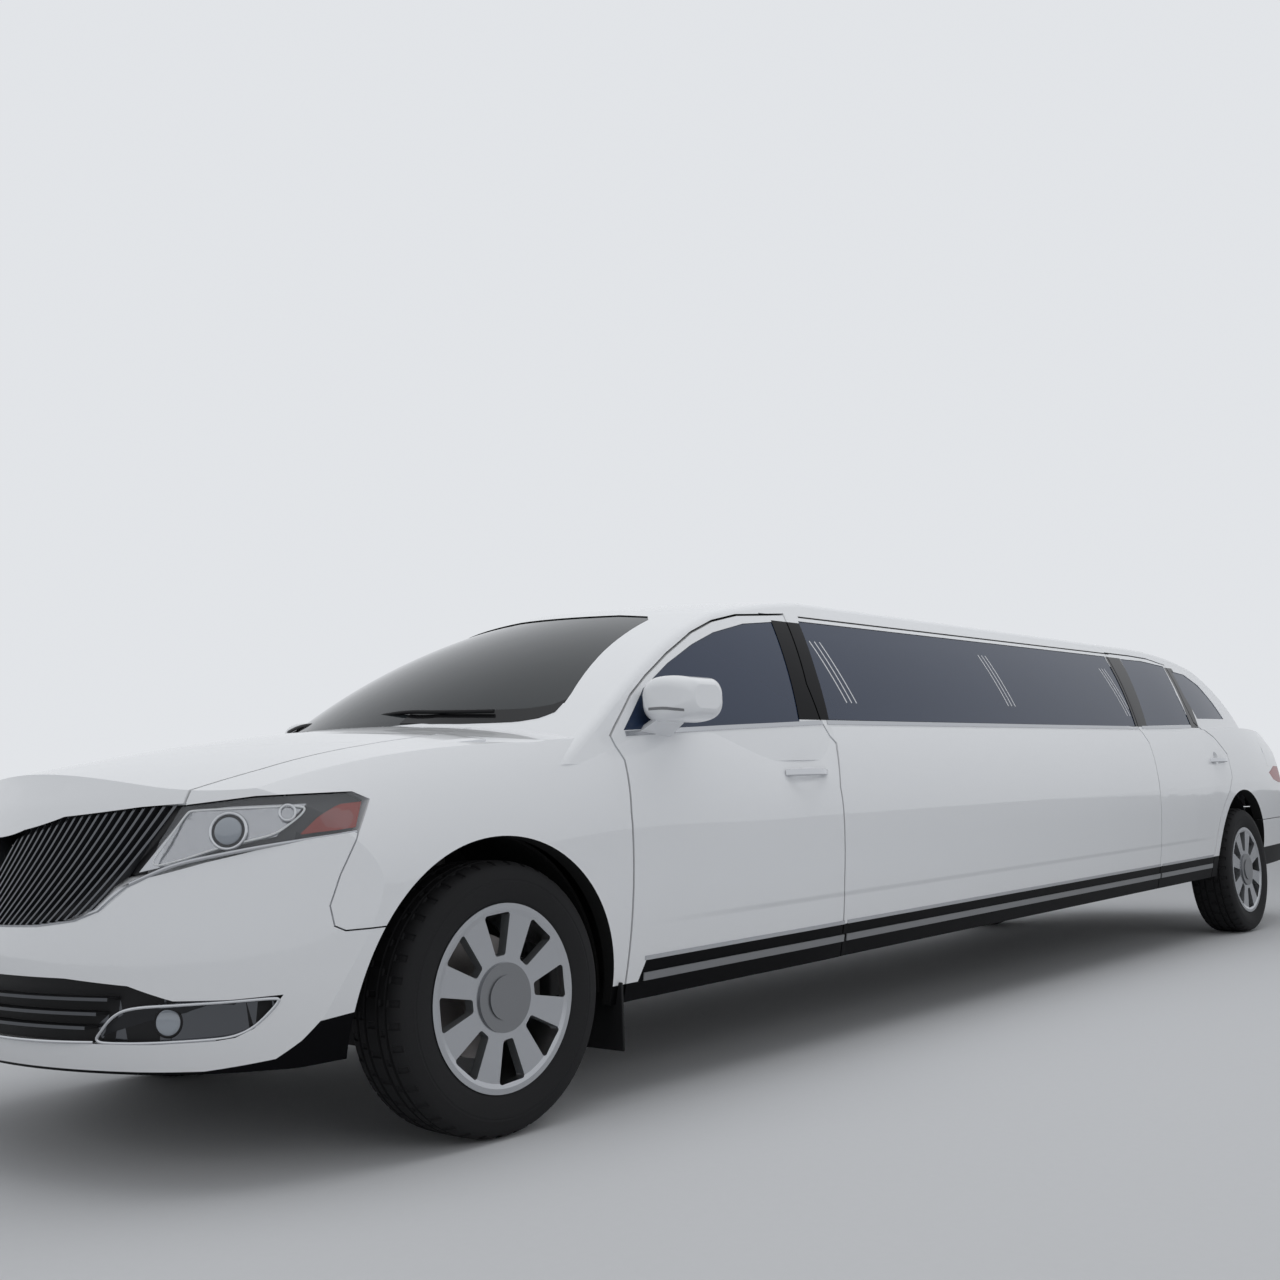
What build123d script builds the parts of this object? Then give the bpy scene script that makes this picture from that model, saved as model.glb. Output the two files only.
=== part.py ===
from build123d import *
import os
from math import radians, tan

os.makedirs("parts", exist_ok=True)

# Stretch limousine in millimetres. +X points to the rear, +Y to the car's right, +Z up.
# The ground is z = 0 and the origin lies midway between the bumpers.

# Whole car
wheelbase = 6043.0
front_overhang = 1020.0
rear_overhang = 1258.0
half_width = 965.0
car_length = front_overhang + wheelbase + rear_overhang
front_axle = front_overhang - car_length / 2
rear_axle = front_axle + wheelbase
body_rake = 0.013
side_reach = 1400.0

# Wheels
tyre_radius = 370.5
tyre_width = 235.0
rim_radius = 253.0
rim_width = 214.0
wheel_y = 828.0
spoke_count = 8
cap_radius = 93.0
disc_radius = 168.0
disc_thickness = 26.0
hub_bore = 34.0
pin_clearance = 1.0

# Wheel arches: distance behind the axle, height of the centre, radius
front_arch = (-20.0, 345.0, 462.0)
rear_arch = (-10.0, 335.0, 438.0)
liner_thickness = 9.0
liner_clearance = 5.0
front_liner_inner = 500.0
rear_liner_inner = 600.0
liner_outer = 850.0

# Panels
sill_bottom = 285.0
door_bottom = 265.0
panel_inset = 60.0
panel_drop = 28.0
glass_inset = 3.0
glass_thickness = 5.0
glass_rabbet = 14.0
door_gap = 8.0
lid_gap = 6.0
seam_gap = 4.0
door_slant = 20.0
roof_seam = 1566.0

# Front panels end here, behind the front axle, and the rear ones start here, before the rear axle
front_end = 1690.0
rear_start = -1355.0

# Lower body sections: from the axle; half widths of sill, widest point and belt;
# heights of the widest point, the belt and the middle of the top
front_sections = [
    (-1150, 800, 885, 700, 620, 860, 990),
    (-800, 850, 925, 765, 650, 925, 1055),
    (-400, 878, 953, 830, 700, 1025, 1118),
    (0, 897, 963, 872, 760, 1065, 1160),
    (450, 905, 965, 905, 800, 1085, 1182),
    (1000, 905, 965, 907, 800, 1105, 1188),
    (front_end, 905, 965, 907, 800, 1125, 1192),
]
rear_sections = [
    (rear_start, 905, 965, 907, 800, 1125, 1192),
    (-800, 905, 965, 908, 800, 1130, 1195),
    (-300, 903, 965, 905, 810, 1145, 1205),
    (200, 893, 961, 890, 815, 1155, 1215),
    (700, 860, 938, 845, 800, 1140, 1205),
    (1300, 780, 880, 735, 760, 1080, 1150),
]

# Plan outlines of nose and tail: height, how far the nose and the tail stand back
plan_rows = [
    (120, 130, 110),
    (290, 40, 40),
    (430, 4, 5),
    (560, 4, 1),
    (700, 20, 12),
    (850, 45, 40),
    (950, 75, 75),
    (1020, 105, 100),
    (1100, 180, 130),
    (1320, 450, 330),
]

# Cabin sections from the rear axle: half widths 1000, 1400 and 1800 above the ground
cabin_heights = (1000, 1400, 1800)
cabin_middle = (930, 814, 583)
cabin_sections = [
    (rear_start, 930, 814, 583),
    (-700, 929, 812, 580),
    (-100, 915, 796, 562),
    (500, 868, 748, 515),
    (1250, 770, 650, 410),
]

# Cabin side views: half width, then x and height of windscreen foot, windscreen head, roof start,
# roof end, rear window head and rear window foot; front ones from the front axle, rear ones from the rear
cabin_profiles = [
    (0, (80, 1175), (1050, 1608), (1750, 1678), (-1000, 1664), (60, 1590), (930, 1130)),
    (500, (250, 1173), (1130, 1577), (1790, 1655), (-1000, 1641), (-10, 1562), (760, 1130)),
    (950, (470, 1172), (1300, 1534), (1850, 1600), (-1000, 1588), (-215, 1468), (230, 1150)),
]
screen_bulge = 42.0
head_bulge = 9.0
tail_bulge = 22.0
rear_screen_bulge = 38.0


# Height that the raked body gains at x
def rise(x):
    return body_rake * (x - front_axle)


# Side view points given from the front or the rear axle
def near_front(x, z):
    return (front_axle + x, z + rise(front_axle + x))


def near_rear(x, z):
    return (rear_axle + x, z + rise(rear_axle + x))


# Point beside the middle of a chord, to make an arc of the given height
def bulge(start, end, height):
    run = end[0] - start[0]
    climb = end[1] - start[1]
    length = (run * run + climb * climb) ** 0.5
    middle = ((start[0] + end[0]) / 2, (start[1] + end[1]) / 2)
    return (middle[0] - climb / length * height, middle[1] + run / length * height)


def cross_plane(x):
    return Plane(origin=(x, 0, 0), x_dir=(0, 1, 0), z_dir=(1, 0, 0))


def side_plane(y):
    return Plane(origin=(0, y, 0), x_dir=(1, 0, 0), z_dir=(0, -1, 0))


# Cross-section of the lower body at x, made smaller all round by inset and lower by drop
def lower_section(x, row, inset, drop):
    sill, wide, belt, wide_z, belt_z, top_z = row
    floor = sill_bottom + rise(x) - 3 * inset
    wide_z = wide_z + rise(x)
    belt_z = belt_z + rise(x) - drop
    top_z = top_z + rise(x) - drop
    with BuildSketch(cross_plane(x)) as section:
        with BuildLine():
            Line((inset - sill, floor), (sill - inset, floor))
            TangentArc((wide - inset, wide_z), (sill - inset, floor), tangent=(0, -1))
            TangentArc((wide - inset, wide_z), (belt - inset, belt_z), tangent=(0, 1))
            ThreePointArc((belt - inset, belt_z), (0, top_z), (inset - belt, belt_z))
            TangentArc((inset - wide, wide_z), (inset - belt, belt_z), tangent=(0, 1))
            TangentArc((inset - wide, wide_z), (inset - sill, floor), tangent=(0, -1))
        make_face()
    return section.sketch


# Outline of the car from above at height z
def plan_outline(z, nose_back, tail_back):
    nose = front_axle - front_overhang + nose_back
    tail = rear_axle + rear_overhang - tail_back
    with BuildSketch(Plane.XY.offset(z)) as outline:
        with BuildLine():
            front = ThreePointArc((nose + 100, -540), (nose, 0), (nose + 100, 540))
            TangentArc((nose + 100, 540), (nose + 716, half_width + 1), tangent=front % 1)
            TangentArc((nose + 100, -540), (nose + 716, -half_width - 1), tangent=-(front % 0))
            Line((nose + 716, half_width + 1), (tail - 531, half_width + 1))
            Line((nose + 716, -half_width - 1), (tail - 531, -half_width - 1))
            back = ThreePointArc((tail - 80, 600), (tail, 0), (tail - 80, -600))
            TangentArc((tail - 80, 600), (tail - 531, half_width + 1), tangent=-(back % 0))
            TangentArc((tail - 80, -600), (tail - 531, -half_width - 1), tangent=back % 1)
        make_face()
    return outline.sketch


# Extrusion of a cross-section from x to the start of the rear panels, along the rake
def along_rake(face, x):
    run = rear_axle + rear_start - x
    return extrude(face, amount=run * (1 + body_rake**2) ** 0.5, dir=(1, 0, body_rake))


def lower_body(inset, drop):
    with BuildPart() as nose:
        for x, *row in front_sections:
            add(lower_section(front_axle + x, row, inset, drop))
        loft()
    with BuildPart() as middle:
        along_rake(lower_section(front_axle + front_end, front_sections[-1][1:], inset, drop), front_axle + front_end)
    with BuildPart() as tail:
        for x, *row in rear_sections:
            add(lower_section(rear_axle + x, row, inset, drop))
        loft()
    with BuildPart() as ends:
        for z, nose_back, tail_back in plan_rows:
            add(plan_outline(z, nose_back + inset, tail_back + inset))
        loft()
    with BuildPart() as whole:
        add(nose.part)
        add(middle.part)
        add(tail.part)
        split(bisect_by=Plane.XZ, keep=Keep.TOP)
        add(ends.part, mode=Mode.INTERSECT)
    return whole.part


def cabin_section(x, widths, inset):
    low, mid, high = [z + rise(x) for z in cabin_heights]
    foot, waist, top = [width - inset for width in widths]
    with BuildSketch(cross_plane(x)) as section:
        with BuildLine():
            Line((-foot, low), (foot, low))
            ThreePointArc((foot, low), (waist, mid), (top, high))
            Line((top, high), (-top, high))
            ThreePointArc((-foot, low), (-waist, mid), (-top, high))
        make_face()
    return section.sketch


def cabin_profile(y, row, inset):
    foot, head, roof_start, roof_end, rear_head, rear_foot = row
    screen_foot = near_front(foot[0] + 2 * inset, foot[1])
    screen_head = near_front(head[0] + inset, head[1] - inset)
    roof_front = near_front(roof_start[0], roof_start[1] - inset)
    roof_back = near_rear(roof_end[0], roof_end[1] - inset)
    window_head = near_rear(rear_head[0] - inset, rear_head[1] - inset)
    window_foot = near_rear(rear_foot[0] - 2 * inset, rear_foot[1])
    floor = 985.0
    with BuildSketch(side_plane(y)) as profile:
        with BuildLine():
            Line((screen_foot[0] - 280, floor), screen_foot)
            ThreePointArc(screen_foot, bulge(screen_foot, screen_head, screen_bulge), screen_head)
            ThreePointArc(screen_head, bulge(screen_head, roof_front, head_bulge), roof_front)
            Line(roof_front, roof_back)
            ThreePointArc(roof_back, bulge(roof_back, window_head, tail_bulge), window_head)
            ThreePointArc(window_head, bulge(window_head, window_foot, rear_screen_bulge), window_foot)
            Line(window_foot, (window_foot[0] + 60, floor))
            Line((window_foot[0] + 60, floor), (screen_foot[0] - 280, floor))
        make_face()
    return profile.sketch


def cabin(inset):
    start = front_axle - 300
    with BuildPart() as front:
        along_rake(cabin_section(start, cabin_middle, inset), start)
    with BuildPart() as tail:
        for x, *widths in cabin_sections:
            add(cabin_section(rear_axle + x, widths, inset))
        loft()
    rows = [(-y, row) for y, *row in reversed(cabin_profiles[1:])] + [(y, row) for y, *row in cabin_profiles]
    with BuildPart() as length:
        for y, row in rows:
            add(cabin_profile(y, row, inset))
        loft()
    with BuildPart() as whole:
        add(front.part)
        add(tail.part)
        split(bisect_by=Plane.XZ, keep=Keep.TOP)
        add(length.part, mode=Mode.INTERSECT)
    return whole.part


# Side view outline pushed right through the car, straight across or slanted forward towards the inside
def side_prism(points, side=0, slant=0.0, grow=0.0):
    start = side_reach if side == 0 else half_width
    with BuildSketch(side_plane(-start)) as outline:
        with BuildLine():
            Polyline(*points, close=True)
        make_face()
        if grow:
            offset(amount=grow, kind=Kind.INTERSECTION)
    depth = 2 * side_reach if side == 0 else 560.0
    with BuildPart() as prism:
        extrude(outline.sketch, amount=depth, dir=(-tan(radians(slant)), 1, 0))
        if side != 0:
            extrude(outline.sketch, amount=200, dir=(tan(radians(slant)), -1, 0))
    return prism.part


def front_points(table):
    return [near_front(x, z) for x, z in table]


def rear_points(table):
    return [near_rear(x, z) for x, z in table]


# Door outlines at the widest point of the skin: distance behind the axle, height
front_door_edge = [
    (520, door_bottom), (508, 850), (527, 1010), (498, 1085), (526, 1112), (646, 1216), (752, 1282),
    (908, 1365), (1100, 1452), (1258, 1505), (1428, 1540), (1744, roof_seam),
]
front_door_back = [
    (1652, 1290), (1653, 1150), (1696, 1060), (1650, 900), (1652, 560), (1682, door_bottom),
]
rear_door_front = [
    (-1318, door_bottom), (-1343, 560), (-1345, 900), (-1328, 1060), (-1375, 1150), (-1350, 1290),
    (-1277, roof_seam),
]
rear_door_back = [
    (-940, roof_seam), (-700, 1560), (-462, 1532), (-523, 1300), (-516, 1180), (-316, 1090), (-200, 990),
    (-205, 850), (-268, 775), (-368, 700), (-440, 620), (-487, 530), (-512, 430), (-520, door_bottom),
]
# Window openings
front_window = [
    (540, 1104), (681, 1243), (840, 1334), (1007, 1410), (1158, 1464), (1365, 1512), (1560, 1533), (1498, 1142),
]
stretch_window_front = [(1770, 1150), (1770, 1540)]
stretch_window_rear = [(-1470, 1540), (-1510, 1150)]
rear_window = [(-1275, 1156), (-1190, 1544), (-890, 1546), (-575, 1527), (-615, 1346), (-600, 1168)]
quarter_window = [(-450, 1207), (-500, 1350), (-480, 1500), (-290, 1486), (-130, 1424), (-10, 1316), (76, 1212)]

# Outlines near the nose, seen from the side: bumper top, headlamp and grille
bumper_region = [
    (-1100, 200), (-300, 200), (-300, 600), (-514, 600), (-541, 614), (-550, 665), (-523, 740), (-472, 842),
    (-592, 828), (-692, 809), (-779, 786), (-862, 756), (-889, 733), (-921, 682), (-949, 654), (-984, 640),
    (-1100, 632),
]
headlamp_region = [
    (-797, 924), (-680, 938), (-456, 940), (-420, 921), (-470, 845), (-592, 831), (-692, 812), (-779, 789),
    (-860, 761), (-836, 843),
]
grille_region = [
    (-1100, 860), (-974, 861), (-960, 884), (-930, 911), (-853, 925), (-799, 928), (-838, 843), (-864, 758),
    (-892, 735), (-921, 684), (-949, 656), (-984, 642), (-1100, 634),
]
rear_bumper_region = [(300, 150), (1450, 150), (1450, 640), (1010, 640), (830, 575), (300, 575)]
tail_lamp_region = [(560, 868), (720, 912), (1450, 905), (1450, 800), (790, 800), (640, 825)]
tailgate_region = [(58, 1720), (34, 1480), (600, 950), (600, 655), (1450, 655), (1450, 1720)]

# Outlines seen from the front, left half: across, height
intake_region = [
    (0, 510), (-390, 505), (-582, 489), (-686, 452), (-789, 450), (-865, 455), (-846, 413), (-820, 379),
    (-789, 360), (-753, 354), (-622, 348), (0, 347),
]
intake_overlap = 10.0
spine_region = [(0, 560), (-15, 560), (-15, 785), (-86, 862), (-86, 900), (0, 900)]
screen_region = [
    (0, 1150), (-500, 1165), (-748, 1206), (-738, 1238), (-664, 1400), (-607, 1535), (-570, 1556), (-450, 1574),
    (0, 1596),
]
back_window_region = [(0, 1225), (-505, 1225), (-462, 1478), (-430, 1508), (-250, 1535), (0, 1548)]
tailgate_half_width = 600.0

# Bonnet outline from above, left half: distance behind the axle, across
bonnet_region = [
    (-1150, 10), (-1150, -655), (-800, -655), (-600, -680), (-262, -684), (-28, -664), (250, -545), (215, -500),
    (150, -380), (62, -220), (15, 0), (15, 10),
]

# Grille bars
bar_pitch = 27.0
bar_width = 8.0
bar_lean = 250.0
grille_depth = 34.0
lamp_depth = 30.0


# Left half outline seen along the car, pushed from x to the given end
def front_prism(points, start, end, grow=0.0):
    with BuildSketch(cross_plane(start)) as outline:
        with BuildLine():
            Polyline(*points, close=True)
        make_face()
        if grow:
            offset(amount=grow, kind=Kind.INTERSECTION)
    with BuildPart() as prism:
        extrude(outline.sketch, amount=end - start, dir=(1, 0, 0))
    return prism.part


# Left half outline seen from above, pushed up through the car
def top_prism(points, grow=0.0):
    with BuildSketch(Plane.XY.offset(500)) as outline:
        with BuildLine():
            Polyline(*points, close=True)
        make_face()
        if grow:
            offset(amount=grow, kind=Kind.INTERSECTION)
    with BuildPart() as prism:
        extrude(outline.sketch, amount=1000)
    return prism.part


# One body of two mirrored halves
def both_halves(half):
    with BuildPart() as whole:
        add(half)
        mirror(about=Plane.XZ)
    return whole.part


def right_copy(left):
    with BuildPart() as right:
        add(left)
        mirror(about=Plane.XZ, mode=Mode.REPLACE)
    return right.part


def save(part, name):
    part.label = name
    export_step(part, f"parts/{name}.step")


def save_pair(left, name):
    save(left, f"{name}_left")
    save(right_copy(left), f"{name}_right")


roof_round = 40.0
outer_lower = lower_body(0, 0)
inner_lower = lower_body(panel_inset, panel_drop)
outer_cabin_sharp = cabin(0)
inner_cabin = cabin(45)
roof_edges = [
    edge for edge in outer_cabin_sharp.edges()
    if edge.length > 300 and edge.center().Z > 1250 and edge.center().Y < -300
]
outer_cabin = fillet(roof_edges, roof_round)

# Left half of the car's walls
with BuildPart() as left_walls:
    add(outer_lower)
    add(outer_cabin)
    add(inner_lower, mode=Mode.SUBTRACT)
    add(inner_cabin, mode=Mode.SUBTRACT)

front_door_outline = front_points(front_door_edge) + front_points(front_door_back)
rear_door_outline = rear_points(rear_door_front) + rear_points(rear_door_back)
stretch_block = [
    near_front(1500, 150), near_rear(-1150, 150), near_rear(-1150, roof_seam), near_front(1500, roof_seam),
]
front_door_zone = side_prism(front_door_outline, -1, door_slant)
front_door_hole = side_prism(front_door_outline, -1, door_slant, door_gap)
rear_door_zone = side_prism(rear_door_outline, -1, door_slant)
rear_door_hole = side_prism(rear_door_outline, -1, door_slant, door_gap)
bumper_zone = side_prism(front_points(bumper_region))
lamp_zone = side_prism(front_points(headlamp_region))
grille_zone = side_prism(front_points(grille_region))


def arch_cutter(axle, arch, shrink=0.0):
    with BuildSketch(side_plane(-side_reach)) as circle:
        with Locations((axle + arch[0], arch[1] + rise(axle))):
            Circle(arch[2] - shrink)
    with BuildPart() as cutter:
        extrude(circle.sketch, amount=2 * side_reach, dir=(0, 1, 0))
    return cutter.part


front_arch_hole = arch_cutter(front_axle, front_arch)
rear_arch_hole = arch_cutter(rear_axle, rear_arch)

nose_block = [near_front(-1300, 100), near_front(560, 100), near_front(560, 1330), near_front(-1300, 1330)]
with BuildPart() as nose_volume:
    add(side_prism(nose_block))
    add(outer_cabin_sharp, mode=Mode.SUBTRACT)

# What is left of the walls once the doors are cut out
with BuildPart() as left_rest:
    add(left_walls.part)
    add(front_door_hole, mode=Mode.SUBTRACT)
    add(rear_door_hole, mode=Mode.SUBTRACT)

with BuildPart() as left_nose:
    add(left_rest.part)
    add(nose_volume.part, mode=Mode.INTERSECT)
    add(front_arch_hole, mode=Mode.SUBTRACT)

with BuildPart() as left_cell:
    add(left_rest.part)
    add(nose_volume.part, mode=Mode.SUBTRACT)
    add(side_prism(stretch_block), mode=Mode.SUBTRACT)
    add(rear_arch_hole, mode=Mode.SUBTRACT)


# Part of the walls inside an outline, and what is left outside it
def inside(walls, *zones):
    with BuildPart() as piece:
        add(walls)
        for zone in zones:
            add(zone, mode=Mode.INTERSECT)
    return piece.part


def outside(walls, *zones):
    with BuildPart() as piece:
        add(walls)
        for zone in zones:
            add(zone, mode=Mode.SUBTRACT)
    return piece.part


def largest(part):
    return part.solids().sort_by(SortBy.VOLUME)[-1]


# Layer of the cabin's skin between two depths, for glass and its seat
def cabin_layer(start, end):
    with BuildPart() as layer:
        add(cabin(start) if start else outer_cabin_sharp)
        add(cabin(end), mode=Mode.SUBTRACT)
    return layer.part


glass_layer = cabin_layer(glass_inset, glass_inset + glass_thickness)

# Stretch panel between the doors, with one long pane over its pillars
stretch_pane = [
    near_front(1690, 1150), near_front(1712, 1350), near_front(1745, 1549),
    near_rear(-1398, 1549), near_rear(-1412, 1350), near_rear(-1432, 1150),
]
stretch_opening = [near_front(*p) for p in stretch_window_front] + [near_rear(*p) for p in stretch_window_rear]
stretch_walls = inside(left_rest.part, side_prism(stretch_block))
with BuildPart() as stretch_seat:
    add(outer_cabin_sharp)
    add(cabin(glass_rabbet), mode=Mode.SUBTRACT)
    add(side_prism(stretch_pane), mode=Mode.INTERSECT)
stretch_panel = largest(outside(stretch_walls, stretch_seat.part, side_prism(stretch_opening)))
save_pair(stretch_panel, "stretch_panel")

# Doors
front_door = largest(outside(inside(left_walls.part, front_door_zone), side_prism(front_points(front_window))))
rear_door = largest(
    outside(inside(left_walls.part, rear_door_zone), side_prism(rear_points(rear_window)), rear_arch_hole)
)


def handle_cup(x, z):
    with BuildPart() as cup:
        with Locations((x, -half_width - 22, z + rise(x))):
            Sphere(52)
    return cup.part


handle_front = 1331.0
handle_back = 1588.0
handle_height = 955.0
rear_handle_shift = 4195.0
front_door = outside(front_door, handle_cup(front_axle + handle_front + 105, handle_height + 22))
rear_door = outside(rear_door, handle_cup(front_axle + handle_front + 105 + rear_handle_shift, handle_height + 22))


def grip(start):
    end = start + handle_back - handle_front
    middle = (start + end) / 2
    z = handle_height + rise(middle)
    with BuildPart() as bar:
        with BuildSketch(Plane.XY.offset(z - 12)):
            with BuildLine():
                ThreePointArc((start, -half_width + 18), (middle, -half_width - 34), (end, -half_width + 18))
                Line((end, -half_width + 18), (end - 34, -half_width + 18))
                ThreePointArc((end - 34, -half_width + 18), (middle, -half_width - 16), (start + 34, -half_width + 18))
                Line((start + 34, -half_width + 18), (start, -half_width + 18))
            make_face()
        extrude(amount=24)
        fillet(bar.edges().filter_by(GeomType.CIRCLE), 5)
    return bar.part


front_grip = outside(grip(front_axle + handle_front), front_door)
rear_grip = outside(grip(front_axle + handle_front + rear_handle_shift), rear_door)
save_pair(largest(front_grip), "front_door_handle")
save_pair(largest(rear_grip), "rear_door_handle")


def pane(outline, grow=9.0):
    return inside(glass_layer, side_prism(outline, -1, 0, grow))


front_door_glass = largest(pane(front_points(front_window)))
rear_door_glass = largest(pane(rear_points(rear_window)))
save_pair(largest(outside(front_door, front_door_glass)), "front_door")
save_pair(largest(outside(rear_door, rear_door_glass)), "rear_door")
save_pair(front_door_glass, "front_door_glass")
save_pair(rear_door_glass, "rear_door_glass")

# Fixed glass: one long pane and a quarter pane on each side, windscreen, tailgate pane
stretch_glass = largest(pane(stretch_pane, -2.0))
quarter_glass = largest(pane(rear_points(quarter_window)))
with BuildPart() as fixed_glass:
    add(stretch_glass)
    add(quarter_glass)
    mirror(about=Plane.XZ)
save(fixed_glass.part, "side_glass")

screen_zone = front_prism(screen_region, front_axle - 300, front_axle + 1500)
screen_seat = front_prism(screen_region, front_axle - 300, front_axle + 1500, 14)
half_screen = inside(glass_layer, screen_seat)
windscreen = both_halves(half_screen)
save(windscreen, "windscreen")

back_points = [(y, z + 75) for y, z in back_window_region]
back_zone = front_prism(back_points, rear_axle - 100, rear_axle + 1500)
back_seat = front_prism(back_points, rear_axle - 100, rear_axle + 1500, 14)
tailgate_glass = both_halves(inside(glass_layer, back_seat))
save(tailgate_glass, "tailgate_glass")

# Tail: tailgate, bumper and lamps
tail_strip = front_prism(
    [(0, 100), (-tailgate_half_width, 100), (-tailgate_half_width, 2000), (0, 2000)], rear_axle, rear_axle + 1600
)
tail_strip_hole = front_prism(
    [(0, 100), (-tailgate_half_width, 100), (-tailgate_half_width, 2000), (0, 2000)],
    rear_axle, rear_axle + 1600, lid_gap,
)
tailgate_zone = side_prism(rear_points(tailgate_region))
tailgate_hole = side_prism(rear_points(tailgate_region), grow=lid_gap)
rear_bumper_zone = side_prism(rear_points(rear_bumper_region))
rear_bumper_hole = side_prism(rear_points(rear_bumper_region), grow=seam_gap)
tail_lamp_zone = side_prism(rear_points(tail_lamp_region))
tail_lamp_hole = side_prism(rear_points(tail_lamp_region), grow=2)

tail_block = side_prism(rear_points(
    [(150, 100), (1600, 100), (1600, 1800), (10, 1800), (10, 1480), (150, 1290)]
))
tail_core = outer_lower.moved(Location((-lamp_depth, lamp_depth * 0.7, 0)))
tail_walls = inside(left_cell.part, tail_block)
main_walls = outside(left_cell.part, tail_block)
with BuildPart() as tailgate_corner:
    add(tailgate_hole)
    add(tail_strip_hole, mode=Mode.INTERSECT)

rear_bumper = both_halves(largest(inside(tail_walls, rear_bumper_zone)))
save(rear_bumper, "rear_bumper")

tailgate_half = inside(tail_walls, tailgate_zone, tail_strip)
lamp_recess = outside(tail_lamp_hole, tail_core)
centre_lamp = both_halves(largest(outside(inside(tailgate_half, tail_lamp_zone), tail_core)))
save(centre_lamp, "tailgate_lamp")
save(both_halves(largest(outside(tailgate_half, lamp_recess, back_zone, tailgate_glass))), "tailgate")

with BuildPart() as corner_lamps:
    add(largest(outside(inside(tail_walls, tail_lamp_zone), tail_strip_hole, tail_core)))
    mirror(about=Plane.XZ)
save(corner_lamps.part, "tail_lamps")

half_tail = outside(tail_walls, tailgate_corner.part, rear_bumper_hole, lamp_recess)
with BuildPart() as half_cell:
    add(outside(main_walls, screen_zone, half_screen, side_prism(rear_points(quarter_window)), quarter_glass))
    add(half_tail)
save(both_halves(largest(half_cell.part)), "body_shell")

# Nose: bumper, lamps, grille, bonnet, wings and cowl
bonnet_points = [(front_axle + x, y) for x, y in bonnet_region]
bumper_hole = side_prism(front_points(bumper_region), grow=seam_gap)
lamp_hole = side_prism(front_points(headlamp_region), grow=seam_gap)
grille_hole = side_prism(front_points(grille_region), grow=seam_gap)
intake_outline = [(intake_overlap, 510)] + intake_region + [(intake_overlap, 347)]
intake_zone = front_prism(intake_outline, front_axle - 1200, front_axle - 500)
intake_back = front_prism(intake_outline, front_axle - 1200, front_axle - 500, -1.0)
spine_zone = front_prism(spine_region, front_axle - 1200, front_axle - 700)
spine_hole = front_prism(spine_region, front_axle - 1200, front_axle - 700, 2.0)

with BuildPart() as half_bumper:
    add(largest(outside(inside(left_nose.part, bumper_zone), intake_zone)))
    add(inside(left_nose.part, side_prism(front_points(grille_region)), spine_zone))
save(both_halves(largest(half_bumper.part)), "front_bumper")

nose_skin = outer_lower.moved(Location((7, 5, 0)))
nose_core = outer_lower.moved(Location((lamp_depth, lamp_depth * 0.7, 0)))
lamp_block = largest(inside(left_nose.part, lamp_zone))
with BuildPart() as headlamp_lenses:
    add(largest(outside(lamp_block, nose_skin)))
    mirror(about=Plane.XZ)
save(headlamp_lenses.part, "headlamp_lenses")
with BuildPart() as headlamp_housings:
    add(largest(inside(lamp_block, nose_core)))
    mirror(about=Plane.XZ)
save(headlamp_housings.part, "headlamp_housings")

bonnet_hole = top_prism(bonnet_points, lid_gap)
half_bonnet = outside(inside(left_nose.part, top_prism(bonnet_points)), bumper_hole, lamp_hole, grille_hole)
save(both_halves(largest(half_bonnet)), "bonnet")

cowl_zone = top_prism(
    [(front_axle - 60, 10), (front_axle - 60, -540), (front_axle + 700, -540), (front_axle + 700, 10)]
)
wing_rest = outside(left_nose.part, bonnet_hole, bumper_hole, lamp_hole, grille_hole)
save(both_halves(largest(inside(wing_rest, cowl_zone))), "cowl")
save_pair(largest(outside(wing_rest, cowl_zone)), "wing")


# Band that follows the nose in plan and leans back with height, between two depths behind the skin
def nose_band(low, high, nose_back, lean, start, end):
    run = (high - low) * (1 + lean**2) ** 0.5
    with BuildPart() as band:
        extrude(plan_outline(low, nose_back + start, 0), amount=run, dir=(lean, 0, 1))
        extrude(plan_outline(low, nose_back + end, 0), amount=run, dir=(lean, 0, 1), mode=Mode.SUBTRACT)
    return band.part


# Slanted bars of the two grille openings, standing on a dark plate
def bar_strip(top):
    foot = top - bar_lean
    start = (-top, 935)
    end = (-foot, 620)
    middle = (-(top + foot) / 2 - 28, 782)
    with BuildSketch(cross_plane(front_axle - 1200)) as strip:
        with BuildLine():
            ThreePointArc(start, middle, end)
            Line(end, (end[0] + bar_width, end[1]))
            ThreePointArc(
                (end[0] + bar_width, end[1]), (middle[0] + bar_width, middle[1]), (start[0] + bar_width, start[1])
            )
            Line((start[0] + bar_width, start[1]), start)
        make_face()
    return extrude(strip.sketch, amount=500, dir=(1, 0, 0))


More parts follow.
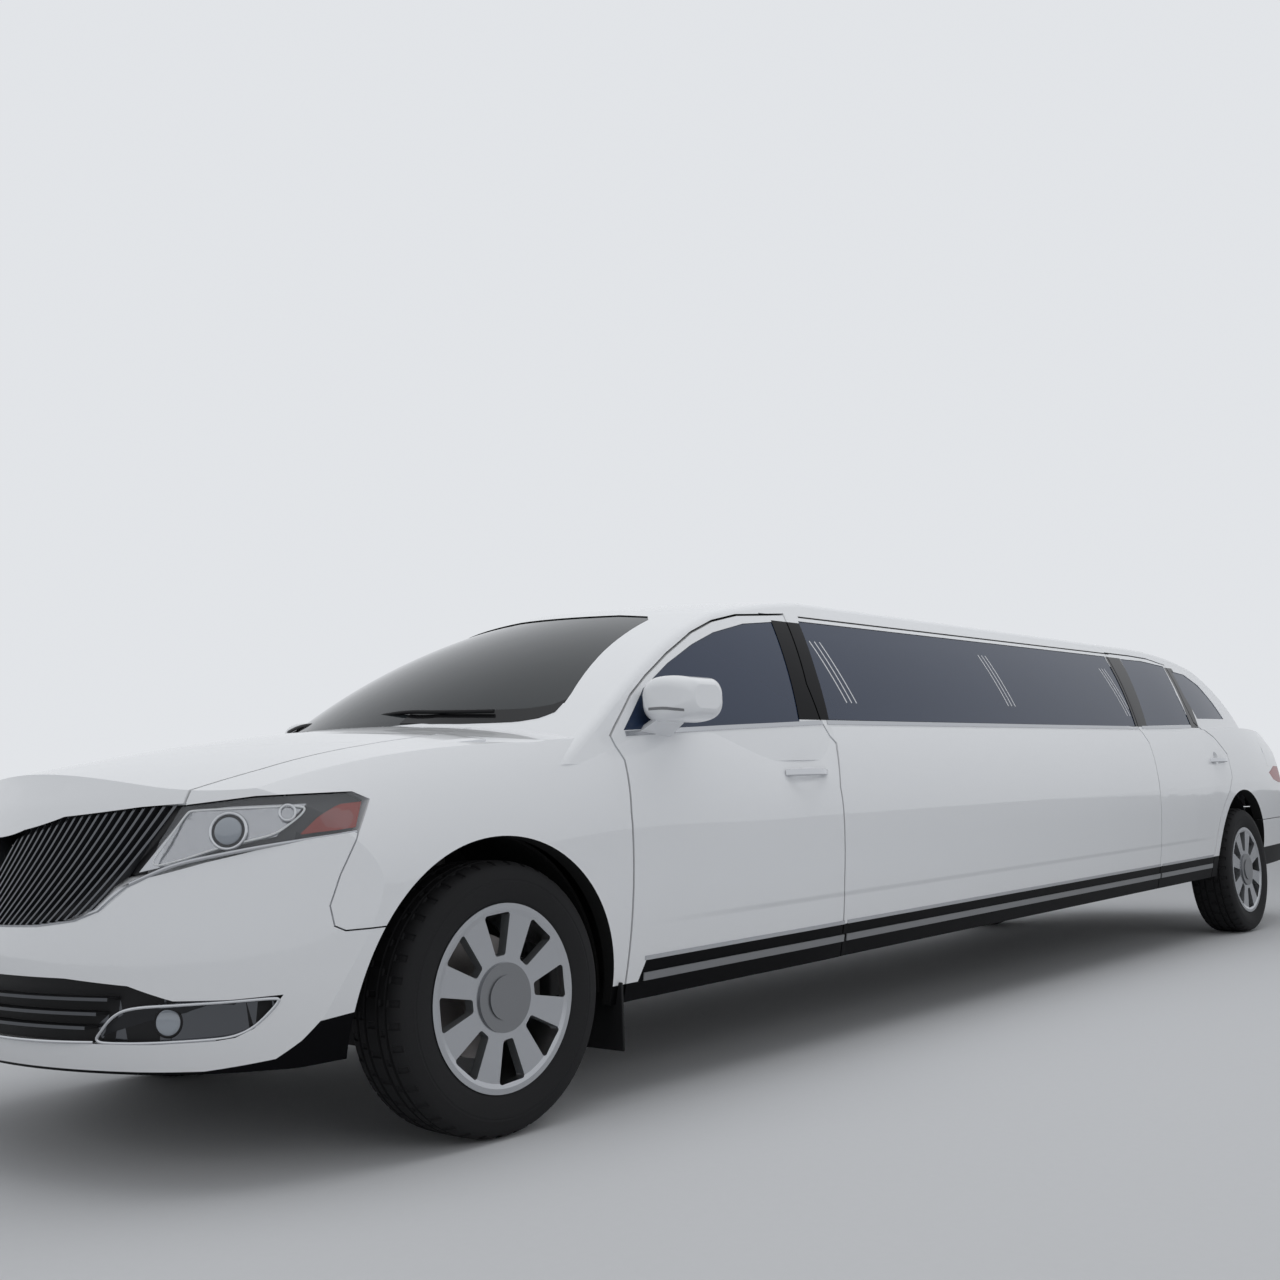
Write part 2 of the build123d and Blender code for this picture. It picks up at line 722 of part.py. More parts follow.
bar_count = int((660 + bar_lean) / bar_pitch)
grille_low = 610.0
grille_high = 950.0
grille_lean = 0.2
grille_back = 6.0
grille_plate = 24.0
left_side = top_prism([(front_axle - 1300, 0), (front_axle - 1300, -900), (front_axle, -900), (front_axle, 0)])
with BuildPart() as bars:
    add([bar_strip(20 + bar_pitch * (number + 1)) for number in range(bar_count)])
bar_band = nose_band(grille_low, grille_high, grille_back, grille_lean, 8, grille_depth + 4)
plate_band = nose_band(grille_low, grille_high, grille_back, grille_lean, grille_depth, grille_depth + grille_plate)
bar_zone = outside(inside(bar_band, grille_zone, left_side), spine_hole)
with BuildPart() as half_grille:
    add(outside(inside(plate_band, grille_zone, left_side), spine_hole))
    add(inside(bars.part, bar_zone))
save(both_halves(largest(half_grille.part)), "grille")

# Lower intake: a dark back wall with three bars
intake_bars = [(455, 517), (420, 484), (386, 449)]
bar_half_height = 4.0
intake_inset = 10.0
with BuildPart() as slats:
    for z, reach in intake_bars:
        with Locations((front_axle - 950, 0, z)):
            Box(500, 2 * reach, 2 * bar_half_height)
slat_band = nose_band(330, 530, intake_inset, 0, 0, grille_depth + 4)
intake_band = nose_band(330, 530, intake_inset, 0, grille_depth, grille_depth + grille_plate)
with BuildPart() as half_intake:
    add(inside(slats.part, slat_band))
    add(intake_band)
    add(intake_back, mode=Mode.INTERSECT)
save(both_halves(largest(half_intake.part)), "intake")

# Door mirrors on a foot below the window: distance from the front axle, across and heights
mirror_slices = [(-905, 150, 90), (-955, 218, 136), (-1045, 216, 138), (-1094, 180, 112), (-1112, 128, 74)]
mirror_middle = (715, 1196)
with BuildPart() as left_mirror:
    for y, length, height in mirror_slices:
        centre = near_front(*mirror_middle)
        with BuildSketch(side_plane(y)):
            with Locations(centre):
                RectangleRounded(length, height, min(40, height / 2 - 4))
    loft()
with BuildPart() as mirror_foot:
    with BuildSketch(side_plane(-880)):
        with BuildLine():
            Polyline(near_front(612, 1085), near_front(742, 1055), near_front(760, 1100), near_front(640, 1110),
                     close=True)
        make_face()
    with BuildSketch(side_plane(-1010)):
        with BuildLine():
            Polyline(near_front(630, 1150), near_front(760, 1150), near_front(770, 1170), near_front(640, 1170),
                     close=True)
        make_face()
    loft()
with BuildPart() as mirror_body:
    add(left_mirror.part)
    add(mirror_foot.part)
    add(front_door, mode=Mode.SUBTRACT)
    add(front_door_glass, mode=Mode.SUBTRACT)
save_pair(largest(mirror_body.part), "door_mirror")


# Wheels are modelled at the origin for the left side, outer face towards -Y
tyre_bead = 241.0
tyre_shoulder = 354.0
with BuildPart() as tyre:
    with BuildSketch(Plane.XY):
        with BuildLine():
            Polyline(
                (tyre_bead, -96), (tyre_bead, 96), (264, 109), (306, tyre_width / 2), (tyre_shoulder, 108),
                (tyre_radius, 80), (tyre_radius, -80), (tyre_shoulder, -108), (306, -tyre_width / 2), (264, -109),
                close=True,
            )
        make_face()
    revolve(axis=Axis.Y)

barrel_wall = 10.0
spoke_front = -101.0
spoke_back = -70.0
window_inner = 112.0
window_outer = 226.0
window_inner_half = 17.0
window_outer_half = 48.0
window_turn = 5.0
rotor_face = 6.0
with BuildSketch() as window:
    with BuildLine():
        Polyline(
            (window_inner, -window_inner_half), (window_outer, -window_outer_half),
            (window_outer, window_outer_half), (window_inner, window_inner_half), close=True,
        )
    make_face()
    fillet(vertices(), 9)
with BuildPart() as rim:
    with BuildSketch(Plane.XY):
        with BuildLine():
            Polyline(
                (tyre_bead - 0.1, -96), (tyre_bead - 0.1, 96), (rim_radius, 103), (rim_radius, rim_width / 2),
                (tyre_bead - barrel_wall, rim_width / 2), (tyre_bead - barrel_wall, spoke_back),
                (60, spoke_back), (60, spoke_front), (cap_radius, spoke_front), (225, spoke_front - 2),
                (238, -rim_width / 2), (rim_radius, -rim_width / 2), (rim_radius, -103), close=True,
            )
        make_face()
    revolve(axis=Axis.Y)
    with BuildSketch(side_plane(-140)):
        with PolarLocations(0, spoke_count, window_turn):
            add(window.sketch)
    extrude(amount=-75, mode=Mode.SUBTRACT)
    with BuildSketch(side_plane(rotor_face + disc_thickness)):
        Circle(66)
    extrude(amount=rotor_face + disc_thickness - spoke_front)
    with BuildSketch(side_plane(rotor_face + disc_thickness)):
        Circle(disc_radius)
    extrude(amount=disc_thickness)
    with BuildSketch(side_plane(rotor_face + disc_thickness + 1)):
        Circle(hub_bore)
    extrude(amount=80, mode=Mode.SUBTRACT)
    with BuildSketch(side_plane(spoke_front)):
        Circle(cap_radius)
    extrude(amount=7)
    with BuildSketch(side_plane(spoke_front - 7)):
        Circle(cap_radius * 0.64)
    extrude(amount=5)

wheel_spots = [
    ("front_left", front_axle, -1), ("front_right", front_axle, 1),
    ("rear_left", rear_axle, -1), ("rear_right", rear_axle, 1),
]
for place, axle, side in wheel_spots:
    for piece, name in ((tyre.part, "tyre"), (rim.part, "wheel")):
        with BuildPart() as placed:
            with Locations((axle, wheel_y * -1, tyre_radius)):
                add(piece)
            if side > 0:
                mirror(about=Plane.XZ, mode=Mode.REPLACE)
        save(placed.part, f"{name}_{place}")

# Hub carrier with stub axle, brake caliper and strut; the steering axis leans inwards
steer_foot = (-758.0, 250.0)
steer_head = (-640.0, 790.0)
carrier_face = -wheel_y + rotor_face + disc_thickness + 6
strut_radius = 24.0
steer_lean = (steer_head[0] - steer_foot[0]) / (steer_head[1] - steer_foot[1])


def carrier(axle):
    with BuildPart() as block:
        with BuildSketch(side_plane(carrier_face + 34)):
            with Locations((axle, tyre_radius)):
                RectangleRounded(96, 210, 30)
        extrude(amount=34)
        with BuildSketch(side_plane(carrier_face + 1)):
            with Locations((axle, tyre_radius)):
                Circle(hub_bore - pin_clearance)
        extrude(amount=78)
        with BuildSketch(side_plane(carrier_face)):
            with Locations((axle + 175, tyre_radius + 20)):
                Rectangle(46, 120)
        extrude(amount=-20)
        with BuildSketch(side_plane(carrier_face)):
            with Locations((axle + 196, tyre_radius + 20)):
                Rectangle(22, 120)
        extrude(amount=disc_thickness + 12)
        with BuildSketch(side_plane(carrier_face - disc_thickness - 12)):
            with Locations((axle + 180, tyre_radius + 20)):
                Rectangle(54, 120)
        extrude(amount=22)
        with BuildSketch(side_plane(carrier_face + 30)):
            with Locations((axle + 100, tyre_radius + 10)):
                Rectangle(190, 60)
        extrude(amount=14)
    return block.part


strut_line = Plane(origin=(front_axle, steer_foot[0], steer_foot[1]), z_dir=(0, steer_lean, 1))
with BuildPart() as left_knuckle:
    add(carrier(front_axle))
    with BuildSketch(strut_line.offset(250)):
        Circle(strut_radius)
    extrude(amount=292)
    with BuildSketch(side_plane(-668)):
        with BuildLine():
            Polyline((front_axle - 30, 470), (front_axle + 30, 470), (front_axle + 26, 560), (front_axle - 26, 560),
                     close=True)
        make_face()
    extrude(amount=90)
    with BuildSketch(strut_line.offset(-18)):
        Circle(14)
    extrude(amount=60)
    with BuildSketch(side_plane(-735)):
        with Locations((front_axle, 278)):
            Rectangle(60, 36)
    extrude(amount=52)
save_pair(left_knuckle.part, "steering_knuckle")

# Front axle: cross-member under the engine, an arm with a socket to each knuckle, a strut tower in each arch
arm_top = 252.0
arm_bottom = 226.0
ball_radius = 14.0
with BuildPart() as front_axle_frame:
    with Locations((front_axle, 0, 250)):
        Box(260, 900, 60)
    with Locations((front_axle + 210, 0, 262)):
        Box(240, 620, 36)
    with BuildSketch(Plane.XY.offset(arm_bottom)):
        with BuildLine():
            Polyline(
                (front_axle - 120, -440), (front_axle - 34, -770), (front_axle + 34, -770), (front_axle + 180, -440),
                close=True,
            )
        make_face()
        fillet(vertices(), 12)
    extrude(amount=arm_top - arm_bottom)
    with BuildSketch(strut_line.offset(-60)):
        Circle(ball_radius + pin_clearance)
    extrude(amount=140, mode=Mode.SUBTRACT)
    split(bisect_by=Plane.XZ, keep=Keep.TOP)
    mirror(about=Plane.XZ)
save(front_axle_frame.part, "front_subframe")

# Rear axle: a cross tube with hub carriers, and an arm forward on each side
tube_radius = 30.0
trailing_arm = (-480.0, 10.0, 540.0, 580.0, 300.0, 360.0)
with BuildPart() as rear_axle_frame:
    add(carrier(rear_axle))
    with BuildSketch(side_plane(5)):
        with Locations((rear_axle, tyre_radius)):
            Circle(tube_radius)
    extrude(amount=765)
    arm_start, arm_end, arm_inner, arm_outer, arm_low, arm_high = trailing_arm
    with BuildSketch(Plane.XY.offset(arm_low)):
        with Locations((rear_axle + (arm_start + arm_end) / 2, -(arm_inner + arm_outer) / 2)):
            Rectangle(arm_end - arm_start, arm_outer - arm_inner)
    extrude(amount=arm_high - arm_low)
    split(bisect_by=Plane.XZ, keep=Keep.TOP)
    mirror(about=Plane.XZ)
save(rear_axle_frame.part, "rear_subframe")


# Wheel-house of the left side: a ring over the tyre and an inner wall
def wheel_house(axle, arch, inner):
    centre = (axle + arch[0], arch[1] + rise(axle))
    ring_inner = arch[2] + liner_clearance
    with BuildPart() as house:
        with BuildSketch(side_plane(-inner)):
            with Locations(centre):
                Circle(ring_inner + liner_thickness)
                Circle(ring_inner, mode=Mode.SUBTRACT)
        extrude(amount=liner_outer - inner)
        with BuildSketch(side_plane(-inner)):
            with Locations(centre):
                Circle(ring_inner + liner_thickness)
                Circle(200, mode=Mode.SUBTRACT)
        extrude(amount=liner_thickness)
        with Locations((axle, -700, rise(axle) - 60)):
            Box(1200, 700, 2 * liner_cut, mode=Mode.SUBTRACT)
    return house.part


# Floor in steps: distances from an axle, half width, bottom and top
liner_cut = 385.0
floor_front = 492.0
floor_thickness = 26.0
floor_bottom = 330.0
floor_half_width = 862.0
tower_hole = strut_radius + pin_clearance
with BuildPart() as floor:
    with BuildSketch(side_plane(-floor_half_width)):
        with BuildLine():
            Polyline(
                near_front(floor_front, floor_bottom), near_rear(-470, floor_bottom),
                near_rear(-470, floor_bottom + floor_thickness),
                near_front(floor_front + 26, floor_bottom + floor_thickness), near_front(floor_front + 26, 1000),
                near_front(floor_front, 1000), close=True,
            )
        make_face()
    extrude(amount=-2 * floor_half_width)
    with BuildSketch(side_plane(-rear_liner_inner - 1)):
        with BuildLine():
            Polyline(
                near_rear(-480, floor_bottom), near_rear(480, floor_bottom), near_rear(480, floor_bottom + floor_thickness),
                near_rear(-480, floor_bottom + floor_thickness), close=True,
            )
        make_face()
    extrude(amount=-2 * rear_liner_inner - 2)
    with BuildSketch(side_plane(-700)):
        with BuildLine():
            Polyline(
                near_rear(455, floor_bottom), near_rear(1020, floor_bottom + 70), near_rear(1020, floor_bottom + 96),
                near_rear(455, floor_bottom + floor_thickness), close=True,
            )
        make_face()
    extrude(amount=-1400)
    with BuildSketch(side_plane(-front_liner_inner - 1)):
        with BuildLine():
            Polyline(
                near_front(-640, 560), near_front(-640, 620), near_front(430, 620), near_front(500, 460),
                near_front(500, 400), near_front(410, 400), near_front(360, 560), close=True,
            )
        make_face()
    extrude(amount=-60)
    add(wheel_house(front_axle, front_arch, front_liner_inner))
    add(wheel_house(rear_axle, rear_arch, rear_liner_inner))
    with Locations((front_axle, -585, 785)):
        Box(150, 170, 66)
    with BuildSketch(strut_line.offset(400)):
        Circle(tower_hole)
    extrude(amount=250, mode=Mode.SUBTRACT)
    split(bisect_by=Plane.XZ, keep=Keep.TOP)
    mirror(about=Plane.XZ)
save(floor.part, "floor_pan")

# Engine and gearbox as one plain block
with BuildPart() as engine:
    with Locations((front_axle - 10, 0, 630)):
        Box(620, 560, 620)
    with Locations((front_axle + 380, 0, 460)):
        Box(200, 340, 280)
save(engine.part, "engine")

# Dashboard with the steering column and wheel
wheel_centre = (front_axle + 1010, -380, 985)
wheel_tilt = 24.0
with BuildPart() as dashboard:
    with BuildSketch(side_plane(-740)):
        with BuildLine():
            Polyline(
                near_front(340, 1010), near_front(340, 1050), near_front(860, 1050), near_front(930, 1000),
                near_front(900, 800), near_front(700, 690), near_front(530, 760), near_front(530, 1010), close=True,
            )
        make_face()
    extrude(amount=-1480)
    fillet(dashboard.edges().filter_by(Axis.Y).group_by(Axis.X)[-1], 24)
    rim_plane = Plane(origin=wheel_centre, z_dir=(1, 0, tan(radians(wheel_tilt))), x_dir=(0, 1, 0))
    with BuildSketch(rim_plane):
        Circle(186)
        Circle(160, mode=Mode.SUBTRACT)
        Circle(58)
        Rectangle(330, 34)
        with Locations((0, -85)):
            Rectangle(34, 150)
    extrude(amount=12, both=True)
    with BuildSketch(rim_plane):
        Circle(34)
    extrude(amount=-190)
save(dashboard.part, "dashboard")


# Seat from the side: cushion, back and headrest outlines given from the front axle, each with its half width
def seat_block(outline, centre_y, half):
    with BuildPart() as block:
        with BuildSketch(side_plane(centre_y - half)):
            with BuildLine():
                Polyline(*front_points(outline), close=True)
            make_face()
            fillet(vertices(), 22)
        extrude(amount=-2 * half)
    return block.part


seat_blocks = [
    ([(1050, 362), (1520, 362), (1540, 600), (1060, 640)], 265),
    ([(1440, 560), (1580, 560), (1740, 1190), (1630, 1215), (1560, 1130)], 250),
    ([(1650, 1190), (1725, 1180), (1760, 1365), (1680, 1375)], 120),
]
with BuildPart() as front_seats:
    for outline, half in seat_blocks:
        add(seat_block(outline, -385, half))
    mirror(about=Plane.XZ)
save(front_seats.part, "front_seats")

# Lounge: a bench along the left side and one across the back
lounge_start = 1850.0
lounge_end = 4560.0
with BuildPart() as side_bench:
    with BuildSketch(cross_plane(front_axle + lounge_start)):
        with BuildLine():
            z = rise(front_axle + lounge_start)
            Polyline(
                (-330, 362 + z), (-320, 700 + z), (-360, 740 + z), (-640, 720 + z), (-700, 1090 + z), (-760, 1130 + z),
                (-815, 1110 + z), (-825, 362 + z), close=True,
            )
        make_face()
        fillet(vertices(), 24)
    run = lounge_end - lounge_start
    extrude(amount=run * (1 + body_rake**2) ** 0.5, dir=(1, 0, body_rake))
save(side_bench.part, "side_bench")

rear_bench_blocks = [
    ([(5180, 362), (5560, 362), (5560, 470), (5830, 470), (5830, 740), (5200, 780)], 590),
    ([(5760, 700), (5900, 700), (6060, 1200), (6000, 1250), (5930, 1240)], 590),
]
with BuildPart() as rear_bench:
    for outline, half in rear_bench_blocks:
        add(seat_block(outline, 0, half))
save(rear_bench.part, "rear_bench")

# Exhaust: a pipe along the middle, a muffler across the tail and two tips
pipe_radius = 30.0
pipe_height = 292.0
tip_radius = 36.0
tip_y = 590.0
tip_height = 322.0
with BuildPart() as exhaust:
    with BuildSketch(cross_plane(front_axle + 560)):
        with Locations((-120, pipe_height)):
            Circle(pipe_radius)
    extrude(amount=rear_axle + 540 - front_axle - 560)
    with Locations((rear_axle + 620, 0, 335)):
        Box(220, 1300, 96)
    with BuildSketch(cross_plane(rear_axle + 700)):
        with Locations((-tip_y, tip_height), (tip_y, tip_height)):
            Circle(tip_radius)
    extrude(amount=470)
    with BuildSketch(cross_plane(rear_axle + 900)):
        with Locations((-tip_y, tip_height), (tip_y, tip_height)):
            Circle(tip_radius - 3)
    extrude(amount=280, mode=Mode.SUBTRACT)
save(exhaust.part, "exhaust")
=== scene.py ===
import bpy
import bmesh
import math
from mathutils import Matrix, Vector


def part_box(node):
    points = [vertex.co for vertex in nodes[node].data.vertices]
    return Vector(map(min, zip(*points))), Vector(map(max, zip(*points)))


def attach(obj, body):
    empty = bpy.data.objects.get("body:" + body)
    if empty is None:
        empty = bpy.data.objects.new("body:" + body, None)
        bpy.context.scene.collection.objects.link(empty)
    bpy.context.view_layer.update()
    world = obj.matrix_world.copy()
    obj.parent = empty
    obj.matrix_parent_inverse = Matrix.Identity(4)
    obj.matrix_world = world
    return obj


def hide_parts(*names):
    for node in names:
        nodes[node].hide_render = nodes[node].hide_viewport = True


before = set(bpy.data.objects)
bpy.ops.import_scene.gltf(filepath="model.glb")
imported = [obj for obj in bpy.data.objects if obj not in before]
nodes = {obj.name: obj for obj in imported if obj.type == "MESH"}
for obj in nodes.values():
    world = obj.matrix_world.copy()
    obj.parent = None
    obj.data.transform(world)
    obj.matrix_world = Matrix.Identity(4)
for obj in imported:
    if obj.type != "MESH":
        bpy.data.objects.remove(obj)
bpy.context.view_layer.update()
print("frame loaded:", len(nodes), "nodes")

# Driving places, read from the frame
frontLow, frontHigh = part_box("tyre_front_left")
rearLow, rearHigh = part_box("tyre_rear_left")
frontAxle = (frontLow.x + frontHigh.x) / 2
rearAxle = (rearLow.x + rearHigh.x) / 2
tyreRadius = (frontHigh.z - frontLow.z) / 2
wheelY = -(frontHigh.y + frontLow.y) / 2
bodyRake = 0.013    # how much the body rises per metre towards the tail
sides = (("left", -1), ("right", 1))


# Level body height at a distance behind the front axle, lifted by the rake
def atFront(x, z):
    return (frontAxle + x, z + bodyRake * x)


# Small helpers for working the way one does in the viewport
def deselectAll():
    if bpy.context.object and bpy.context.object.mode != "OBJECT":
        bpy.ops.object.mode_set(mode="OBJECT")
    bpy.ops.object.select_all(action="DESELECT")


def makeActive(piece):
    deselectAll()
    piece.select_set(True)
    bpy.context.view_layer.objects.active = piece


def newPiece(name, operator, **settings):
    deselectAll()
    operator(**settings)
    piece = bpy.context.active_object
    piece.name = name
    return piece


def settle(piece):
    makeActive(piece)
    bpy.ops.object.transform_apply(location=True, rotation=True, scale=True)


def applyModifier(piece, kind, **settings):
    makeActive(piece)
    modifier = piece.modifiers.new(kind.title(), kind)
    for key, value in settings.items():
        setattr(modifier, key, value)
    bpy.ops.object.modifier_apply(modifier=modifier.name)


def smooth(piece, angle=35):
    makeActive(piece)
    bpy.ops.object.shade_smooth_by_angle(angle=math.radians(angle))


def fixNormals(piece):
    makeActive(piece)
    bpy.ops.object.mode_set(mode="EDIT")
    bpy.ops.mesh.select_all(action="SELECT")
    bpy.ops.mesh.remove_doubles(threshold=0.00005)
    bpy.ops.mesh.normals_make_consistent(inside=False)
    bpy.ops.object.mode_set(mode="OBJECT")


# Edit mode with only the chosen faces selected
def editFaces(piece, choose):
    makeActive(piece)
    bpy.ops.object.mode_set(mode="EDIT")
    bpy.ops.mesh.select_mode(type="FACE")
    bpy.ops.mesh.select_all(action="DESELECT")
    mesh = bmesh.from_edit_mesh(piece.data)
    for face in mesh.faces:
        face.select = choose(face)
    bmesh.update_edit_mesh(piece.data)


def leaveEdit():
    bpy.ops.object.mode_set(mode="OBJECT")


def dress(piece, body, material):
    piece.data.materials.clear()
    piece.data.materials.append(material)
    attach(piece, body)
    return piece


def mirrored(piece, name):
    makeActive(piece)
    bpy.ops.object.duplicate()
    twin = bpy.context.active_object
    twin.name = name
    twin.scale = (1, -1, 1)
    settle(twin)
    fixNormals(twin)
    return twin


def copied(piece, name, offset=(0, 0, 0)):
    makeActive(piece)
    bpy.ops.object.duplicate()
    twin = bpy.context.active_object
    twin.name = name
    twin.location = offset
    settle(twin)
    return twin


def joined(name, pieces):
    deselectAll()
    for piece in pieces:
        piece.select_set(True)
    bpy.context.view_layer.objects.active = pieces[0]
    bpy.ops.object.join()
    pieces[0].name = name
    return pieces[0]


# Shader node groups shared by the finishes
def newGroup(name, inputs, outputs):
    group = bpy.data.node_groups.new(name, "ShaderNodeTree")
    for label, kind, value in inputs:
        socket = group.interface.new_socket(label, in_out="INPUT", socket_type=kind)
        socket.default_value = value
    for label, kind in outputs:
        group.interface.new_socket(label, in_out="OUTPUT", socket_type=kind)
    start = group.nodes.new("NodeGroupInput")
    end = group.nodes.new("NodeGroupOutput")
    return group, start, end


def addNode(tree, kind, **settings):
    node = tree.nodes.new(kind)
    for key, value in settings.items():
        setattr(node, key, value)
    return node


def wire(tree, *pairs):
    for source, target in pairs:
        tree.links.new(source, target)


# One maths node fed by sockets or plain numbers
def calc(tree, first, operation, *others):
    node = addNode(tree, "ShaderNodeMath", operation=operation)
    for socket, value in zip(node.inputs, (first, *others)):
        if isinstance(value, (int, float)):
            socket.default_value = value
        else:
            tree.links.new(value, socket)
    return node.outputs[0]


def mixColour(tree, share, first, second):
    mix = addNode(tree, "ShaderNodeMix", data_type="RGBA")
    mix.inputs[7].default_value = (*second, 1)
    wire(tree, (share, mix.inputs[0]), (first, mix.inputs[6]))
    return mix.outputs[2]


def mapped(tree, value, low, high, top=1.0, **settings):
    node = addNode(tree, "ShaderNodeMapRange", **settings)
    node.inputs["From Min"].default_value = low
    node.inputs["From Max"].default_value = high
    node.inputs["To Max"].default_value = top
    wire(tree, (value, node.inputs["Value"]))
    return node.outputs[0]


def raised(tree, height, strength, distance):
    relief = addNode(tree, "ShaderNodeBump")
    relief.inputs["Strength"].default_value = strength
    relief.inputs["Distance"].default_value = distance
    wire(tree, (height, relief.inputs["Height"]))
    return relief.outputs["Normal"]


def buildSpeckle():
    group, start, end = newGroup(
        "fineSpeckle",
        [("Colour", "NodeSocketColor", (0.8, 0.8, 0.8, 1)), ("Scale", "NodeSocketFloat", 600.0),
         ("Strength", "NodeSocketFloat", 0.1), ("Base Roughness", "NodeSocketFloat", 0.4),
         ("Roughness Change", "NodeSocketFloat", 0.1)],
        [("Colour", "NodeSocketColor"), ("Roughness", "NodeSocketFloat"), ("Height", "NodeSocketFloat")],
    )
    place = addNode(group, "ShaderNodeTexCoord")
    grain = addNode(group, "ShaderNodeTexNoise")
    grain.inputs["Detail"].default_value = 3
    broad = addNode(group, "ShaderNodeTexNoise")
    broad.inputs["Scale"].default_value = 2.6
    centred = calc(group, grain.outputs["Fac"], "SUBTRACT", 0.5)
    lift = calc(group, calc(group, centred, "MULTIPLY", start.outputs["Strength"]), "ADD", 1.0)
    tint = addNode(group, "ShaderNodeVectorMath", operation="SCALE")
    change = (start.outputs["Roughness Change"], start.outputs["Base Roughness"])
    wire(
        group,
        (place.outputs["Object"], grain.inputs["Vector"]), (start.outputs["Scale"], grain.inputs["Scale"]),
        (place.outputs["Object"], broad.inputs["Vector"]), (start.outputs["Colour"], tint.inputs[0]),
        (lift, tint.inputs["Scale"]), (tint.outputs[0], end.inputs["Colour"]),
        (calc(group, broad.outputs["Fac"], "MULTIPLY_ADD", *change), end.inputs["Roughness"]),
        (grain.outputs["Fac"], end.inputs["Height"]),
    )
    return group


# Height above the raked body line, and distance behind the front axle
def buildBodyPlace():
    group, _, end = newGroup(
        "bodyPlace", [], [(label, "NodeSocketFloat") for label in ("Behind", "Level", "Across")]
    )
    place = addNode(group, "ShaderNodeTexCoord")
    split = addNode(group, "ShaderNodeSeparateXYZ")
    behind = calc(group, split.outputs["X"], "SUBTRACT", frontAxle)
    level = calc(group, behind, "MULTIPLY_ADD", -bodyRake, split.outputs["Z"])
    across = calc(group, split.outputs["Y"], "ABSOLUTE")
    wire(
        group,
        (place.outputs["Object"], split.inputs[0]), (behind, end.inputs["Behind"]),
        (level, end.inputs["Level"]), (across, end.inputs["Across"]),
    )
    return group


fineSpeckle = buildSpeckle()
bodyPlace = buildBodyPlace()


def newMaterial(name):
    material = bpy.data.materials.new(name)
    material.use_nodes = True
    tree = material.node_tree
    shader = tree.nodes["Principled BSDF"]
    return material, tree, shader


def speckled(tree, colour, scale, strength, roughness, change):
    grain = addNode(tree, "ShaderNodeGroup", node_tree=fineSpeckle)
    values = ((*colour, 1), scale, strength, roughness, change)
    for socket, value in zip(grain.inputs, values):
        socket.default_value = value
    return grain.outputs


def wireSpeckle(tree, grain, shader):
    wire(tree, (grain["Colour"], shader.inputs["Base Color"]))
    wire(tree, (grain["Roughness"], shader.inputs["Roughness"]))


def grainedFinish(name, colour, scale, strength, roughness, change, bump, distance=0.0005, **sockets):
    material, tree, shader = newMaterial(name)
    grain = speckled(tree, colour, scale, strength, roughness, change)
    normal = raised(tree, grain["Height"], bump, distance)
    wireSpeckle(tree, grain, shader)
    wire(tree, (normal, shader.inputs["Normal"]))
    for key, value in sockets.items():
        shader.inputs[key.replace("_", " ")].default_value = value
    return material


def metalFinish(*values, **sockets):
    return grainedFinish(*values, **{"Metallic": 1.0, **sockets})


# Dark plastic, rubber and leather, duller than paint
def darkFinish(*values):
    return grainedFinish(*values, Specular_IOR_Level=0.25)


# Pearl white, with black cladding low down and painted shade that greys the paint faintly towards the bottom
paintLook = {
    "white": (0.80, 0.815, 0.84), "paintedShade": (0.62, 0.60, 0.57), "cladding": (0.008, 0.008, 0.009),
    "paintedShadeTop": 0.62, "paintedShadeFoot": 0.3, "paintedShadeAmount": 0.14, "coat": 0.9, "coatRoughness": 0.03,
    "cladRoughness": 0.3,
    "pillarGloss": 0.6, "pillarAside": 0.60, "creaseTop": 0.522, "creaseFoot": 0.500, "creaseDepth": 0.006,
}
creaseFade = ((0.55, 0.0), (1.2, 1.0), (5.2, 1.0), (5.5, 0.2))
# Gloss black pillars between the panes: foot of the front edge, foot of the back edge, lean and top of each
pillarLook = ((1.496, 1.760, 0.162, 1.540), (4.590, 4.790, 0.150, 1.548), (5.430, 5.560, 0.100, 1.520))
pillarFoot = 1.150
# Top of the cladding by distance behind the front axle
sillClad = ((-1.0, 0.340), (0.560, 0.340), (0.570, 0.402), (6.5, 0.402))
noseClad = ((-0.775, 0.292), (-0.656, 0.312), (-0.609, 0.350), (-0.572, 0.393), (-0.451, 0.403))


# A value that follows a table along the car
def alongCar(tree, place, table):
    low = table[0][0]
    high = table[-1][0]
    ramp = addNode(tree, "ShaderNodeValToRGB")
    elements = ramp.color_ramp.elements
    for index, (behind, value) in enumerate(table):
        spot = (behind - low) / (high - low)
        element = elements[index] if index < 2 else elements.new(spot)
        element.position = spot
        element.color = (value, value, value, 1)
    wire(tree, (mapped(tree, place["Behind"], low, high), ramp.inputs[0]))
    return ramp.outputs["Color"]


